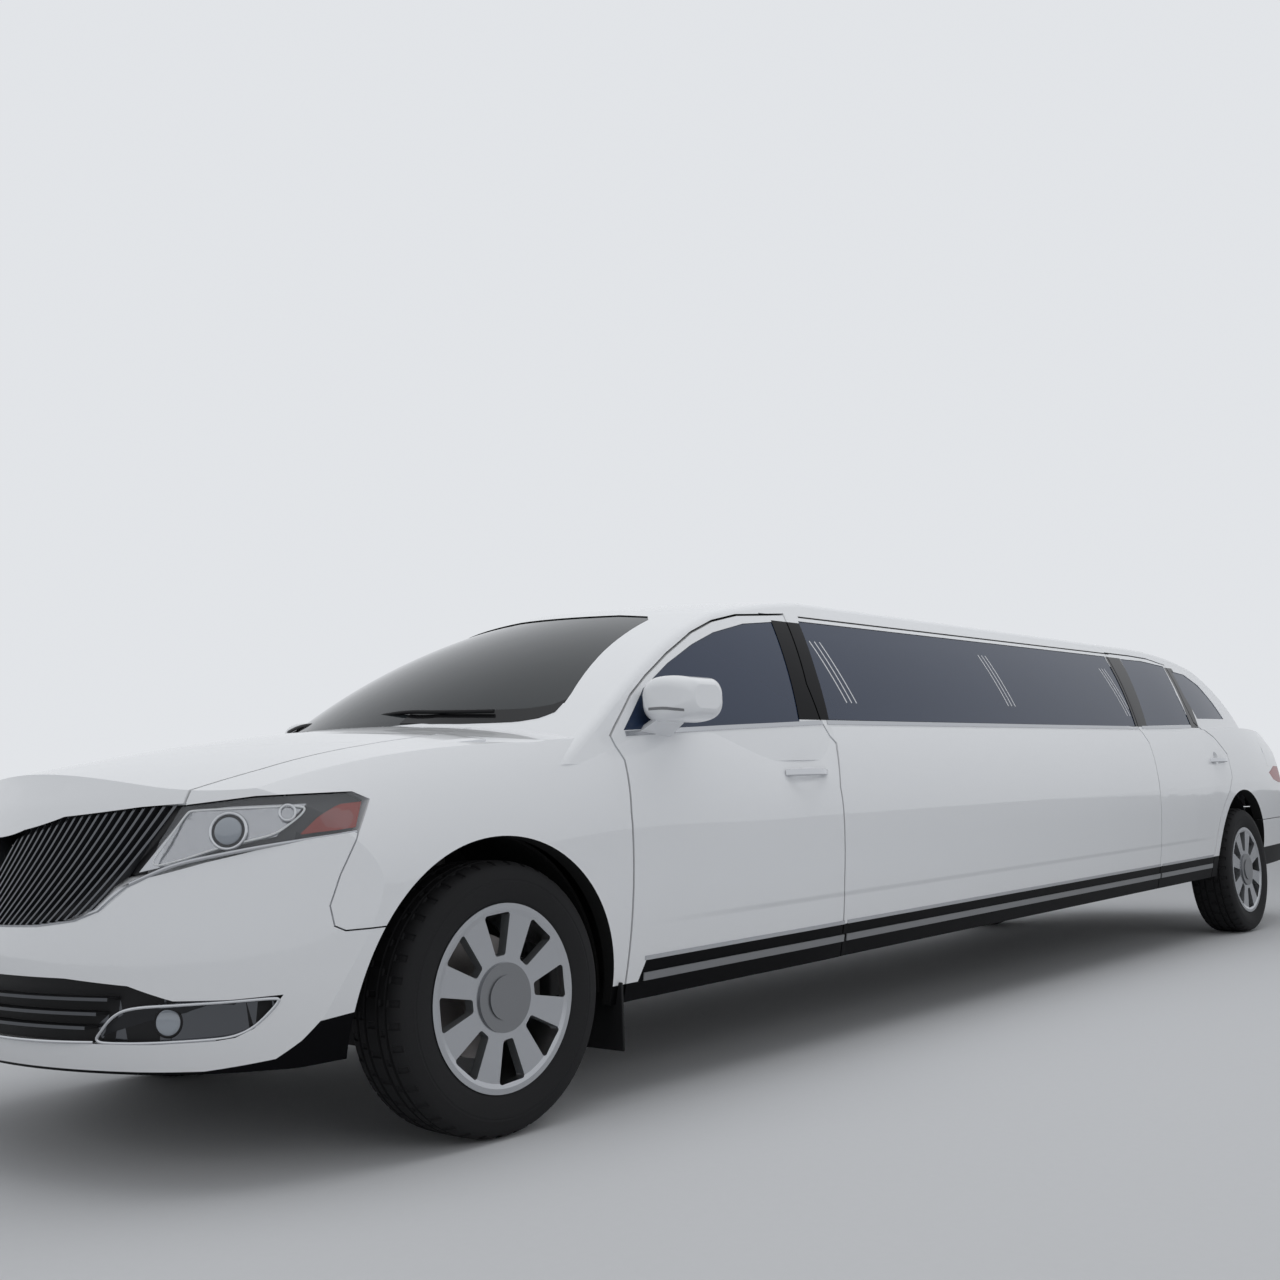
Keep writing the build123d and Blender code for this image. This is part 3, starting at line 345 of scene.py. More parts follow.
# 1 on the outside of the pillars between the panes, 0 elsewhere
def pillarMask(tree, place):
    total = 0.0
    height = calc(tree, place["Level"], "SUBTRACT", pillarFoot)
    for front, back, lean, top in pillarLook:
        slanted = calc(tree, place["Behind"], "SUBTRACT", calc(tree, height, "MULTIPLY", lean))
        behindFront = calc(tree, slanted, "GREATER_THAN", front)
        inside = calc(tree, behindFront, "MULTIPLY", calc(tree, slanted, "LESS_THAN", back))
        below = calc(tree, place["Level"], "LESS_THAN", top)
        total = calc(tree, total, "ADD", calc(tree, inside, "MULTIPLY", below))
    above = calc(tree, place["Level"], "GREATER_THAN", pillarFoot)
    aside = calc(tree, place["Across"], "GREATER_THAN", paintLook["pillarAside"])
    return calc(tree, calc(tree, total, "MULTIPLY", above), "MULTIPLY", aside)


def pearlPaint(name, cladTable=None, creased=False):
    material, tree, shader = newMaterial(name)
    flake = speckled(tree, paintLook["white"], 1400, 0.05, 0.26, 0.06)
    place = addNode(tree, "ShaderNodeGroup", node_tree=bodyPlace).outputs
    # Painted shade: below the waist the white is mixed towards a darker grey-beige, standing in for the
    # darker lower body
    paintedShadeShare = mapped(tree, place["Level"], paintLook["paintedShadeTop"], paintLook["paintedShadeFoot"], paintLook["paintedShadeAmount"])
    colour = mixColour(tree, paintedShadeShare, flake["Colour"], paintLook["paintedShade"])
    roughness = flake["Roughness"]
    shader.inputs["Coat Weight"].default_value = paintLook["coat"]
    shader.inputs["Coat Roughness"].default_value = paintLook["coatRoughness"]
    if cladTable:
        metallic = calc(tree, place["Level"], "LESS_THAN", alongCar(tree, place, cladTable))
        colour = mixColour(tree, metallic, colour, paintLook["cladding"])
        roughness = calc(tree, metallic, "MULTIPLY_ADD", paintLook["cladRoughness"], roughness)
        coat = calc(tree, metallic, "MULTIPLY_ADD", -paintLook["coat"], paintLook["coat"])
    if creased:
        pillar = pillarMask(tree, place)
        colour = mixColour(tree, pillar, colour, paintLook["cladding"])
        metallic = calc(tree, metallic, "MAXIMUM", pillar)
        coat = calc(tree, coat, "MULTIPLY", calc(tree, 1.0, "SUBTRACT", pillar))
        gloss = calc(tree, pillar, "MULTIPLY", paintLook["pillarGloss"])
        roughness = calc(tree, roughness, "MULTIPLY", calc(tree, 1.0, "SUBTRACT", gloss))
        low, high = paintLook["creaseFoot"], paintLook["creaseTop"]
        step = mapped(tree, place["Level"], low, high, interpolation_type="SMOOTHSTEP")
        height = calc(tree, step, "MULTIPLY", alongCar(tree, place, creaseFade))
        normal = raised(tree, height, 1.0, paintLook["creaseDepth"])
        wire(tree, (normal, shader.inputs["Normal"]), (normal, shader.inputs["Coat Normal"]))
    wire(tree, (colour, shader.inputs["Base Color"]), (roughness, shader.inputs["Roughness"]))
    if cladTable:
        wire(tree, (metallic, shader.inputs["Metallic"]), (coat, shader.inputs["Coat Weight"]))
    return material


# Deep tint: a dark pane with a glossy face, a little see-through
def tintedGlass(name, tint, seeThrough):
    material, tree, shader = newMaterial(name)
    ripple = speckled(tree, tint, 3, 0.12, 0.02, 0.03)
    wireSpeckle(tree, ripple, shader)
    shader.inputs["Transmission Weight"].default_value = seeThrough
    shader.inputs["IOR"].default_value = 1.5
    return material


doorPaint = pearlPaint("doorPaint", sillClad, True)
skirtPaint = pearlPaint("skirtPaint", noseClad)
bodyPaint = pearlPaint("bodyPaint")
sideGlassTint = tintedGlass("sideGlassTint", (0.016, 0.032, 0.075), 0.12)
screenTint = tintedGlass("screenTint", (0.030, 0.036, 0.040), 0.40)
clearLens = grainedFinish("clearLens", (0.60, 0.62, 0.65), 3, 0.1, 0.02, 0.02, 0.01, Alpha=0.10)
chrome = metalFinish("chromeTrim", (0.62, 0.63, 0.65), 900, 0.05, 0.05, 0.07, 0.02)
stripChrome = metalFinish("stripChrome", (0.50, 0.51, 0.53), 900, 0.05, 0.09, 0.07, 0.02)
satinSilver = metalFinish("satinSilver", (0.60, 0.61, 0.63), 700, 0.12, 0.24, 0.08, 0.04)
machinedAlloy = metalFinish("machinedAlloy", (0.46, 0.47, 0.49), 1200, 0.12, 0.20, 0.10, 0.05)
darkAlloy = grainedFinish("darkAlloy", (0.28, 0.29, 0.30), 500, 0.15, 0.42, 0.12, 0.1, Metallic=0.8)
discSteel = grainedFinish("discSteel", (0.32, 0.30, 0.29), 260, 0.35, 0.38, 0.12, 0.15, Metallic=0.9)
castIron = grainedFinish("castIron", (0.09, 0.088, 0.085), 160, 0.5, 0.6, 0.12, 0.5, Metallic=0.3)
chassisPaint = darkFinish("chassisPaint", (0.014, 0.014, 0.015), 220, 0.4, 0.55, 0.12, 0.3)
underbody = darkFinish("underbodyCoat", (0.010, 0.010, 0.010), 120, 0.5, 0.75, 0.12, 0.6, 0.001)
blackTrim = darkFinish("blackTrim", (0.010, 0.010, 0.011), 480, 0.3, 0.48, 0.1, 0.25)
pianoBlack = darkFinish("pianoBlack", (0.010, 0.010, 0.011), 300, 0.1, 0.10, 0.06, 0.02)
grilleDark = darkFinish("grilleDark", (0.022, 0.023, 0.026), 500, 0.2, 0.28, 0.08, 0.08)
barEdge = metalFinish("barEdge", (0.13, 0.135, 0.145), 800, 0.1, 0.16, 0.06, 0.03)
capSilver = metalFinish("capSilver", (0.24, 0.245, 0.255), 600, 0.1, 0.30, 0.08, 0.04)
mirrorGlass = metalFinish("mirrorGlass", (0.42, 0.44, 0.47), 40, 0.03, 0.02, 0.02, 0.01)
blankWhite = grainedFinish("blankWhite", (0.55, 0.56, 0.57), 900, 0.05, 0.40, 0.08, 0.03)
rubber = darkFinish("tyreRubber", (0.014, 0.014, 0.015), 260, 0.4, 0.68, 0.14, 0.35)
sealRubber = darkFinish("sealRubber", (0.010, 0.010, 0.010), 400, 0.2, 0.6, 0.1, 0.1)
exhaustSteel = grainedFinish("exhaustSteel", (0.34, 0.32, 0.30), 140, 0.4, 0.36, 0.16, 0.2, Metallic=0.9)
softTrim = darkFinish("softTrim", (0.035, 0.034, 0.035), 900, 0.3, 0.62, 0.1, 0.3)
blackLeather = darkFinish("blackLeather", (0.030, 0.029, 0.030), 520, 0.35, 0.42, 0.12, 0.5, 0.0008)
redLens = grainedFinish("redLens", (0.30, 0.008, 0.012), 60, 0.1, 0.08, 0.05, 0.03)
lampSilver = metalFinish("lampSilver", (0.66, 0.67, 0.69), 90, 0.1, 0.10, 0.08, 0.05)
# Mid grey: on the sill ledge a painted highlight over the black cladding, on the mirrors the signal strip's
# own colour
ledgeHighlightAndSignalGrey = grainedFinish("ledgeHighlightAndSignalGrey", (0.20, 0.205, 0.215), 480, 0.2, 0.34, 0.1, 0.1)
stripeWhite = grainedFinish("stripeWhite", (0.75, 0.76, 0.78), 700, 0.05, 0.3, 0.06, 0.03)
lampBlack = darkFinish("lampBlack", (0.02, 0.02, 0.022), 200, 0.2, 0.25, 0.08, 0.06)
ribbedSilver = metalFinish("ribbedSilver", (0.50, 0.51, 0.53), 60, 0.12, 0.08, 0.06, 0.35, 0.002)
guideWhite = grainedFinish("guideWhite", (0.80, 0.82, 0.84), 200, 0.03, 0.12, 0.05, 0.02)
wedgeRed = grainedFinish("wedgeRed", (0.26, 0.055, 0.045), 60, 0.15, 0.12, 0.06, 0.05)
projectorGlass = grainedFinish(
    "projectorGlass", (0.30, 0.33, 0.37), 3, 0.1, 0.03, 0.03, 0.01, Coat_Weight=1.0
)
print("finishes ready")

# Finish of each carried-over piece
finishGroups = (
    (doorPaint, "body_shell wing rear_bumper front_door rear_door stretch_panel"),
    (bodyPaint, "bonnet tailgate door_mirror"), (skirtPaint, "front_bumper"), (screenTint, "windscreen"),
    (sideGlassTint, "front_door_glass rear_door_glass side_glass tailgate_glass"),
    (chrome, "front_door_handle rear_door_handle"), (blackTrim, "cowl intake"), (grilleDark, "grille"),
    (clearLens, "headlamp_lenses"), (lampBlack, "headlamp_housings"), (redLens, "tail_lamps tailgate_lamp"),
    (underbody, "floor_pan"), (chassisPaint, "front_subframe rear_subframe"),
    (castIron, "steering_knuckle engine"),
    (exhaustSteel, "exhaust"), (softTrim, "dashboard"), (blackLeather, "front_seats side_bench rear_bench"),
    (rubber, "tyre"), (machinedAlloy, "wheel"),
)
nodeFinish = {stem: finish for finish, stems in finishGroups for stem in stems.split()}


def finishFor(name):
    if name in nodeFinish:
        return nodeFinish[name]
    stem = max((key for key in nodeFinish if name.startswith(key + "_")), key=len)
    return nodeFinish[stem]


for name, node in nodes.items():
    node.data.materials.clear()
    node.data.materials.append(finishFor(name))
    smooth(node, 28)
print("carried-over pieces finished")


# Points at even distances along a path
def resampled(path, count):
    points = [Vector(point) for point in path]
    reach = [0.0]
    for start, end in zip(points, points[1:]):
        reach.append(reach[-1] + (end - start).length)
    result = []
    for index in range(count + 1):
        place = reach[-1] * index / count
        run = max(number for number in range(len(points) - 1) if reach[number] <= place + 1e-9)
        share = (place - reach[run]) / (reach[run + 1] - reach[run])
        result.append(points[run].lerp(points[run + 1], share))
    return result


# A sheet with its corners on rows of points in space
def gridThrough(name, rows):
    across = len(rows) - 1
    along = len(rows[0]) - 1
    cuts = {"x_subdivisions": along, "y_subdivisions": across}
    piece = newPiece(name, bpy.ops.mesh.primitive_grid_add, size=2, **cuts)
    for vertex in piece.data.vertices:
        column = round((vertex.co.x + 1) / 2 * along)
        row = round((vertex.co.y + 1) / 2 * across)
        vertex.co = rows[row][column]
    return piece


def rowsBetween(upper, lower, along, across):
    top = resampled(upper, along)
    bottom = resampled(lower, along)
    return [[low.lerp(high, row / across) for low, high in zip(bottom, top)] for row in range(across + 1)]


def thickened(piece, thickness, offset, angle):
    fixNormals(piece)
    makeOutward(piece)
    applyModifier(piece, "SOLIDIFY", thickness=thickness, offset=offset)
    smooth(piece, angle)
    return piece


# A panel through rows of points in space, thickened towards the inside of the car
def panelThrough(name, rows, thickness, offset=-1, angle=40):
    return thickened(gridThrough(name, rows), thickness, offset, angle)


def sheetBetween(name, upper, lower, along, across, thickness, offset=-1, angle=40):
    return panelThrough(name, rowsBetween(upper, lower, along, across), thickness, offset, angle)


# A grid stretched between two edges in space, dropped onto a carried-over piece and given a thickness
def skinPatch(name, upper, lower, node, along=12, across=2, axis=None, lift=0.0, thickness=0.004):
    piece = gridThrough(name, rowsBetween(upper, lower, along, across))
    if axis is None:
        applyModifier(piece, "SHRINKWRAP", target=nodes[node], wrap_method="NEAREST_SURFACEPOINT")
    else:
        number = "XYZ".index(axis)
        start = upper[0][number]
        applyModifier(
            piece, "SHRINKWRAP", target=nodes[node], wrap_method="PROJECT", use_project_x=axis == "X",
            use_project_y=axis == "Y", use_project_z=axis == "Z", use_negative_direction=start > 0,
            use_positive_direction=start < 0,
        )
        places = [vertex.co.copy() for vertex in piece.data.vertices]
        landed = [place for place in places if abs(place[number] - start) > 0.001]
        for vertex in piece.data.vertices:
            if abs(vertex.co[number] - start) > 0.001:
                continue
            # It passed the edge, so it takes its neighbour's depth
            flat = vertex.co.copy()
            close = min(landed, key=lambda place: flatGap(place, flat, number))
            vertex.co[number] = close[number]
    return thickened(piece, thickness, lift, 35)


def flatGap(first, second, skipped):
    return sum((first[axis] - second[axis]) ** 2 for axis in range(3) if axis != skipped)


# Faces of an open patch turned away from the middle of the car
def makeOutward(piece):
    centre = sum((vertex.co for vertex in piece.data.vertices), Vector()) / len(piece.data.vertices)
    away = Vector((0.25 * centre.x, centre.y, 0.4)).normalized()
    total = sum((face.normal * face.area for face in piece.data.polygons), Vector())
    if total.dot(away) < 0:
        editFaces(piece, lambda face: True)
        bpy.ops.mesh.flip_normals()
        leaveEdit()


# A ribbon of the same width along a path in the side view
def skinRibbon(name, path, width, node, side, along=None, lift=0.0, thickness=0.004):
    flat = [Vector((x, 0, z)) for x, z in path]
    length = sum((end - start).length for start, end in zip(flat, flat[1:]))
    count = along or max(2, math.ceil(length / 0.07))
    line = resampled(flat, count)
    upper = []
    lower = []
    for index, point in enumerate(line):
        run = (line[min(index + 1, count)] - line[max(index - 1, 0)]).normalized()
        cross = Vector((-run.z, 0, run.x)) * width / 2
        upper.append((point.x + cross.x, side * 1.25, point.z + cross.z))
        lower.append((point.x - cross.x, side * 1.25, point.z - cross.z))
    return skinPatch(name, upper, lower, node, count, 2, "Y", lift, thickness)


# Bright strips along the sill and the belt, a grey strip on the sill's ledge as a painted highlight, and the
# dark seam of the roof ditch
# Each row along the sill: height, width, how far it stands off, finish and slot
sillRows = (
    ("sillStrip", 0.408, 0.013, 0.005, stripChrome, "chrome"),
    # The ledge row is a grey strip over black cladding, a painted highlight where the ledge faces the sky
    ("sillLedgeHighlight", 0.352, 0.024, 0.008, ledgeHighlightAndSignalGrey, "black_trim"),
)
stripLook = {
    "beltWidth": 0.016, "beltStand": 0.005, "seamStart": 1.76, "seamLength": 2.96, "seamHeight": 1.5665,
    "seamWidth": 0.006, "seamStand": 0.003,
}
sillRuns = (
    ("front_door", (0.575, 1.664), "Door"), ("stretch_panel", (1.686, 4.702), "Stretch"),
    ("rear_door", (4.722, 5.500), "RearDoor"),
)
beltRuns = (
    ("front_door", ((0.545, 1.093), (1.05, 1.117), (1.640, 1.140)), "Door"),
    ("stretch_panel", ((1.672, 1.141), (3.2, 1.142), (4.645, 1.144)), "Stretch"),
    ("rear_door", ((4.690, 1.146), (5.10, 1.150), (5.430, 1.158)), "RearDoor"),
)


def layStrip(name, path, width, stand, stem, sideName, side, finish, slotName):
    points = [atFront(*point) for point in path]
    node = f"{stem}_{sideName}"
    strip = skinRibbon(f"{name}_{sideName}", points, width, node, side, thickness=stand)
    body = f"{stem[:-5]}_{sideName}_door" if stem.endswith("_door") else "body"
    dress(strip, body, finish)


def buildStrips():
    for sideName, side in sides:
        for stem, (start, end), label in sillRuns:
            steps = [start + (end - start) * share / 8 for share in range(9)]
            for name, height, width, stand, finish, slotName in sillRows:
                path = [(x, height) for x in steps]
                layStrip(name + label, path, width, stand, stem, sideName, side, finish, slotName)
        for stem, path, label in beltRuns:
            size = (stripLook["beltWidth"], stripLook["beltStand"])
            layStrip("beltStrip" + label, path, *size, stem, sideName, side, stripChrome, "chrome")
        steps = [stripLook["seamStart"] + stripLook["seamLength"] * share / 10 for share in range(11)]
        points = [atFront(x, stripLook["seamHeight"]) for x in steps]
        size = (stripLook["seamWidth"], stripLook["seamStand"])
        ditch = skinRibbon(f"roofSeam_{sideName}", points, size[0], "body_shell", side, thickness=size[1])
        dress(ditch, "body", sealRubber)


# Groups of three thin pale stripes on the long pane: front, back and heights of the first one
stripeGroups = ((1.758, 1.852, 1.490, 1.245), (3.126, 3.205, 1.520, 1.277), (4.470, 4.556, 1.530, 1.268))
stripeLook = {"pitch": 0.034, "width": 0.006, "stand": 0.0016}


def buildStripes():
    for sideName, side in sides:
        for group, (top, foot, high, low) in enumerate(stripeGroups):
            stripes = []
            for number in range(3):
                shift = frontAxle + number * stripeLook["pitch"]
                name = f"paneStripe_{group}_{number}_{sideName}"
                path = [(top + shift, high), (foot + shift, low)]
                size = (stripeLook["width"], stripeLook["stand"])
                stripes.append(skinRibbon(name, path, size[0], "side_glass", side, 6, 0.0, size[1]))
            dress(joined(f"paneStripes_{group}_{sideName}", stripes), "body", stripeWhite)


buildStrips()
buildStripes()
print("side strips and pane stripes laid on")

# Faces of the carried-over shells that look inwards, or line a wheel arch, take a plain trim finish
rearLift = bodyRake * (rearAxle - frontAxle)
archRings = ((frontAxle - 0.020, 0.345, 0.462), (rearAxle - 0.010, 0.335 + rearLift, 0.438))
cabinShells = ("body_shell", "stretch_panel", "front_door", "rear_door", "tailgate")
noseShells = ("wing", "bonnet", "front_bumper", "rear_bumper")
liningLook = {"roofHeight": 0.95, "roofSide": 0.55, "waist": 0.9, "lean": 0.25, "arch": 0.02, "archTurn": 0.6}


def looksInside(face):
    centre = face.center
    if centre.z < liningLook["roofHeight"] or abs(centre.y) > liningLook["roofSide"]:
        lean = liningLook["lean"] if centre.z > liningLook["waist"] else -0.1
        out = Vector((0, math.copysign(1, centre.y), lean))
    else:
        out = Vector((0, 0, 1))
    return face.normal.dot(out.normalized()) < -0.25


def linesArch(face):
    for x, z, radius in archRings:
        inward = Vector((x - face.center.x, 0, z - face.center.z))
        turned = face.normal.dot(inward.normalized()) > liningLook["archTurn"]
        if inward.length < radius + liningLook["arch"] and turned:
            return True
    return False


def lineShells():
    for name, node in nodes.items():
        stem = name.rsplit("_", 1)[0] if name.endswith(("_left", "_right")) else name
        if stem not in cabinShells + noseShells:
            continue
        node.data.materials.append(softTrim if stem in cabinShells else underbody)
        node.data.materials.append(underbody)
        for face in node.data.polygons:
            if linesArch(face):
                face.material_index = 2
            elif looksInside(face):
                face.material_index = 1


# Wheels: the rim's faces by how far out and how far round they lie
wheelPlaces = (
    ("front_left", frontAxle, -1), ("front_right", frontAxle, 1),
    ("rear_left", rearAxle, -1), ("rear_right", rearAxle, 1),
)
rimLook = {
    "faceDepth": 0.098, "capRadius": 0.094, "capDepth": 0.095, "discRadius": 0.170, "discDepth": 0.02,
    "barrelRadius": 0.222,
}


def finishRims():
    for place, axle, _ in wheelPlaces:
        wheel = nodes[f"wheel_{place}"]
        for finish in (darkAlloy, capSilver, discSteel, satinSilver):
            wheel.data.materials.append(finish)
        for face in wheel.data.polygons:
            reach = math.hypot(face.center.x - axle, face.center.z - tyreRadius)
            depth = abs(face.center.y) - wheelY
            if reach < rimLook["capRadius"] and depth > rimLook["capDepth"]:
                face.material_index = 2
            elif reach < rimLook["discRadius"] and depth < rimLook["discDepth"]:
                face.material_index = 3
            elif depth > rimLook["faceDepth"] and abs(face.normal.y) > 0.7:
                face.material_index = 0
            elif reach > rimLook["barrelRadius"]:
                face.material_index = 4
            else:
                face.material_index = 1


# A closed ring turned about the wheel's axis from a profile of distances out from the axis and across
def spunRing(name, profile, axle, steps):
    piece = newPiece(name, bpy.ops.mesh.primitive_plane_add, size=0.01)
    bpy.ops.object.mode_set(mode="EDIT")
    bpy.ops.mesh.select_mode(type="VERT")
    bpy.ops.mesh.select_all(action="SELECT")
    bpy.ops.mesh.merge(type="CENTER")
    reach, across = profile[0]
    bpy.ops.transform.translate(value=(axle, across, tyreRadius + reach))
    for (oldReach, oldAcross), (newReach, newAcross) in zip(profile, profile[1:] + profile[:1]):
        bpy.ops.mesh.extrude_vertices_move(
            TRANSFORM_OT_translate={"value": (0, newAcross - oldAcross, newReach - oldReach)}
        )
    bpy.ops.mesh.select_all(action="SELECT")
    bpy.ops.mesh.remove_doubles(threshold=0.00005)
    bpy.ops.mesh.spin(steps=steps, angle=2 * math.pi, center=(axle, 0, tyreRadius), axis=(0, 1, 0))
    bpy.ops.object.mode_set(mode="OBJECT")
    fixNormals(piece)
    return piece


# Half of the tyre's outline, bead to crown: distance from the axis and from the tyre's middle
tyreLook = {
    "steps": 120, "sipeDepth": -0.0045, "sipeWidth": 0.0028, "sipeEvery": 3, "blockEvery": 4,
    "shoulderReach": 0.357, "shoulderStart": 0.066, "shoulderEnd": 0.1, "crownReach": 0.3685,
    "crownEnd": 0.054, "rib": 0.02,
}
tyreHalf = [
    (0.2415, 0.0950), (0.2580, 0.1055), (0.2620, 0.1080), (0.2660, 0.1092), (0.2880, 0.1150),
    (0.3060, 0.1170), (0.3120, 0.1172), (0.3135, 0.1162), (0.3180, 0.1162), (0.3195, 0.1168),
    (0.3400, 0.1128), (0.3500, 0.1090), (0.3565, 0.1030), (0.3620, 0.0950), (0.3660, 0.0850),
    (0.3680, 0.0760), (0.3688, 0.0650), (0.3615, 0.0635), (0.3615, 0.0550), (0.3694, 0.0535),
    (0.3700, 0.0320), (0.3625, 0.0305), (0.3625, 0.0215), (0.3702, 0.0200), (0.3704, 0.0000),
]


def buildTyre():
    profile = tyreHalf + [(reach, -across) for reach, across in reversed(tyreHalf[:-1])]
    ring = spunRing("tyreMaster", profile, 0.0, tyreLook["steps"])
    turn = 2 * math.pi / tyreLook["steps"]

    def onShoulder(face):
        centre = face.calc_center_median()
        reach = math.hypot(centre.x, centre.z - tyreRadius)
        step = int(math.floor(math.atan2(centre.z - tyreRadius, centre.x) / turn + 0.25))
        aside = abs(centre.y)
        rib = tyreLook["rib"]
        if reach > tyreLook["shoulderReach"] and tyreLook["shoulderStart"] < aside < tyreLook["shoulderEnd"]:
            return step % tyreLook["sipeEvery"] == (0 if centre.y > 0 else 1)
        turned = 0 if centre.y > rib else 2 if centre.y < -rib else 1
        crown = reach > tyreLook["crownReach"] and aside < tyreLook["crownEnd"]
        return crown and step % tyreLook["blockEvery"] == turned

    editFaces(ring, onShoulder)
    bpy.ops.mesh.inset(thickness=tyreLook["sipeWidth"], depth=tyreLook["sipeDepth"])
    leaveEdit()
    smooth(ring, 28)
    return ring


def buildTyres():
    master = buildTyre()
    for place, axle, side in wheelPlaces:
        tyre = copied(master, f"treadedTyre_{place}", (axle, side * wheelY, 0))
        smooth(tyre, 28)
        dress(tyre, f"{place}_wheel", rubber)
        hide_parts(f"tyre_{place}")
    bpy.data.objects.remove(master)


lineShells()
finishRims()
buildTyres()
print("shells lined, rims finished, treaded tyres on")


# Points snapped onto a carried-over piece and lifted off it
def onSkin(node, point, lift=0.0):
    _, place, normal, _ = nodes[node].closest_point_on_mesh(Vector(point))
    return place + normal * lift, normal


def tube(name, points, radius, closed=False, sides=8):
    bpy.ops.object.select_all(action="DESELECT")
    bpy.ops.curve.primitive_nurbs_path_add()
    piece = bpy.context.active_object
    piece.name = name
    piece.data.splines.clear()
    spline = piece.data.splines.new("NURBS")
    spline.points.add(len(points) - 1)
    for knot, point in zip(spline.points, points):
        knot.co = (*point, 1)
    spline.order_u = 3
    spline.use_cyclic_u = closed
    spline.use_endpoint_u = not closed
    spline.resolution_u = 6
    piece.data.bevel_depth = radius
    piece.data.bevel_resolution = max(1, sides // 4)
    piece.data.use_fill_caps = not closed
    makeActive(piece)
    bpy.ops.object.convert(target="MESH")
    settle(piece)
    fixNormals(piece)
    smooth(piece, 60)
    return piece


# A ribbon that follows points in space over a carried-over piece
def skinTrack(name, points, width, node, thickness=0.005, step=0.05, lift=0.0):
    path = [Vector(point) for point in points]
    length = sum((end - start).length for start, end in zip(path, path[1:]))
    count = max(3, math.ceil(length / step))
    line = resampled(path, count)
    upper = []
    lower = []
    for index, point in enumerate(line):
        place, normal = onSkin(node, point)
        run = (line[min(index + 1, count)] - line[max(index - 1, 0)]).normalized()
        cross = normal.cross(run).normalized()
        if cross.z < 0:
            cross = -cross
        upper.append(place + cross * width / 2)
        lower.append(place - cross * width / 2)
    return skinPatch(name, upper, lower, node, count, 2, None, lift, thickness)


def fromFront(x, y, z):
    return Vector((frontAxle + x, y, z))


def bothSides(parts):
    for piece, body, finish, slotName in parts:
        twin = mirrored(piece, piece.name.replace("_left", "_right"))
        smooth(twin, 45)
        dress(piece, body, finish)
        dress(twin, body.replace("left", "right"), finish)


# Headlamps: reflector, projector, small cup, light guide and the red reflector, all just behind the lens
lampLook = {
    "ring": 0.044, "ringTube": 0.0045, "lens": 0.034, "lensDepth": 0.012, "cup": 0.019, "cupTube": 0.004,
    "guide": 0.0028, "barrelDepth": 0.008, "sheet": 0.002, "reflectorSunk": 0.012, "guideSunk": 0.008,
    "ringSunk": 0.008, "cupSunk": 0.006, "wedgeSunk": 0.005, "middle": (-0.736, -0.760, 0.850),
    "facing": (-0.74, -0.66, 0.15), "cupMiddle": (-0.6254, -0.847, 0.8894), "cupFacing": (-0.58, -0.80, 0.15),
}
behindLens = Vector((0.51, 0.86, 0.0))
reflectorUpper = (
    (-0.796, -0.670, 0.898), (-0.734, -0.746, 0.9087), (-0.664, -0.813, 0.9098), (-0.582, -0.866, 0.9099),
)
reflectorLower = (
    (-0.866, -0.566, 0.757), (-0.817, -0.676, 0.777), (-0.7515, -0.7525, 0.806), (-0.651, -0.838, 0.8316),
)
guidePath = (
    (-0.861, -0.596, 0.767), (-0.8296, -0.6404, 0.8339), (-0.796, -0.670, 0.898), (-0.788, -0.680, 0.9035),
    (-0.7315, -0.7506, 0.9036), (-0.6612, -0.8168, 0.9047), (-0.5884, -0.8671, 0.9051),
    (-0.5913, -0.8692, 0.8891), (-0.6227, -0.8534, 0.861), (-0.6535, -0.8352, 0.8369),
    (-0.7041, -0.7961, 0.8238), (-0.7511, -0.7517, 0.812), (-0.8168, -0.6754, 0.7821),
)
wedgeUpper = (
    (-0.6032, -0.8691, 0.836), (-0.5618, -0.8877, 0.8779), (-0.5015, -0.8867, 0.9063),
    (-0.4394, -0.896, 0.9112),
)
wedgeLower = (
    (-0.6002, -0.8711, 0.8342), (-0.5622, -0.892, 0.8385), (-0.5175, -0.9127, 0.8426),
    (-0.4741, -0.9193, 0.8472),
)


def roundPart(name, operator, place, normal, **settings):
    turn = normal.to_track_quat("Z", "Y").to_euler()
    piece = newPiece(name, operator, location=place, rotation=turn, **settings)
    settle(piece)
    smooth(piece, 40)
    return piece


def ringPart(name, place, normal, radius, tubeRadius, steps, sideSteps):
    return roundPart(
        name, bpy.ops.mesh.primitive_torus_add, place, normal, major_segments=steps, minor_segments=sideSteps,
        major_radius=radius, minor_radius=tubeRadius,
    )


# A flattened ball as a bulging round lens
def lensPart(name, place, normal, radius, depth, steps):
    ball = bpy.ops.mesh.primitive_uv_sphere_add
    piece = newPiece(name, ball, segments=steps, ring_count=steps // 2, radius=1)
    piece.scale = (radius, radius, depth)
    piece.rotation_euler = normal.to_track_quat("Z", "Y").to_euler()
    piece.location = place
    settle(piece)
    smooth(piece, 60)
    return piece


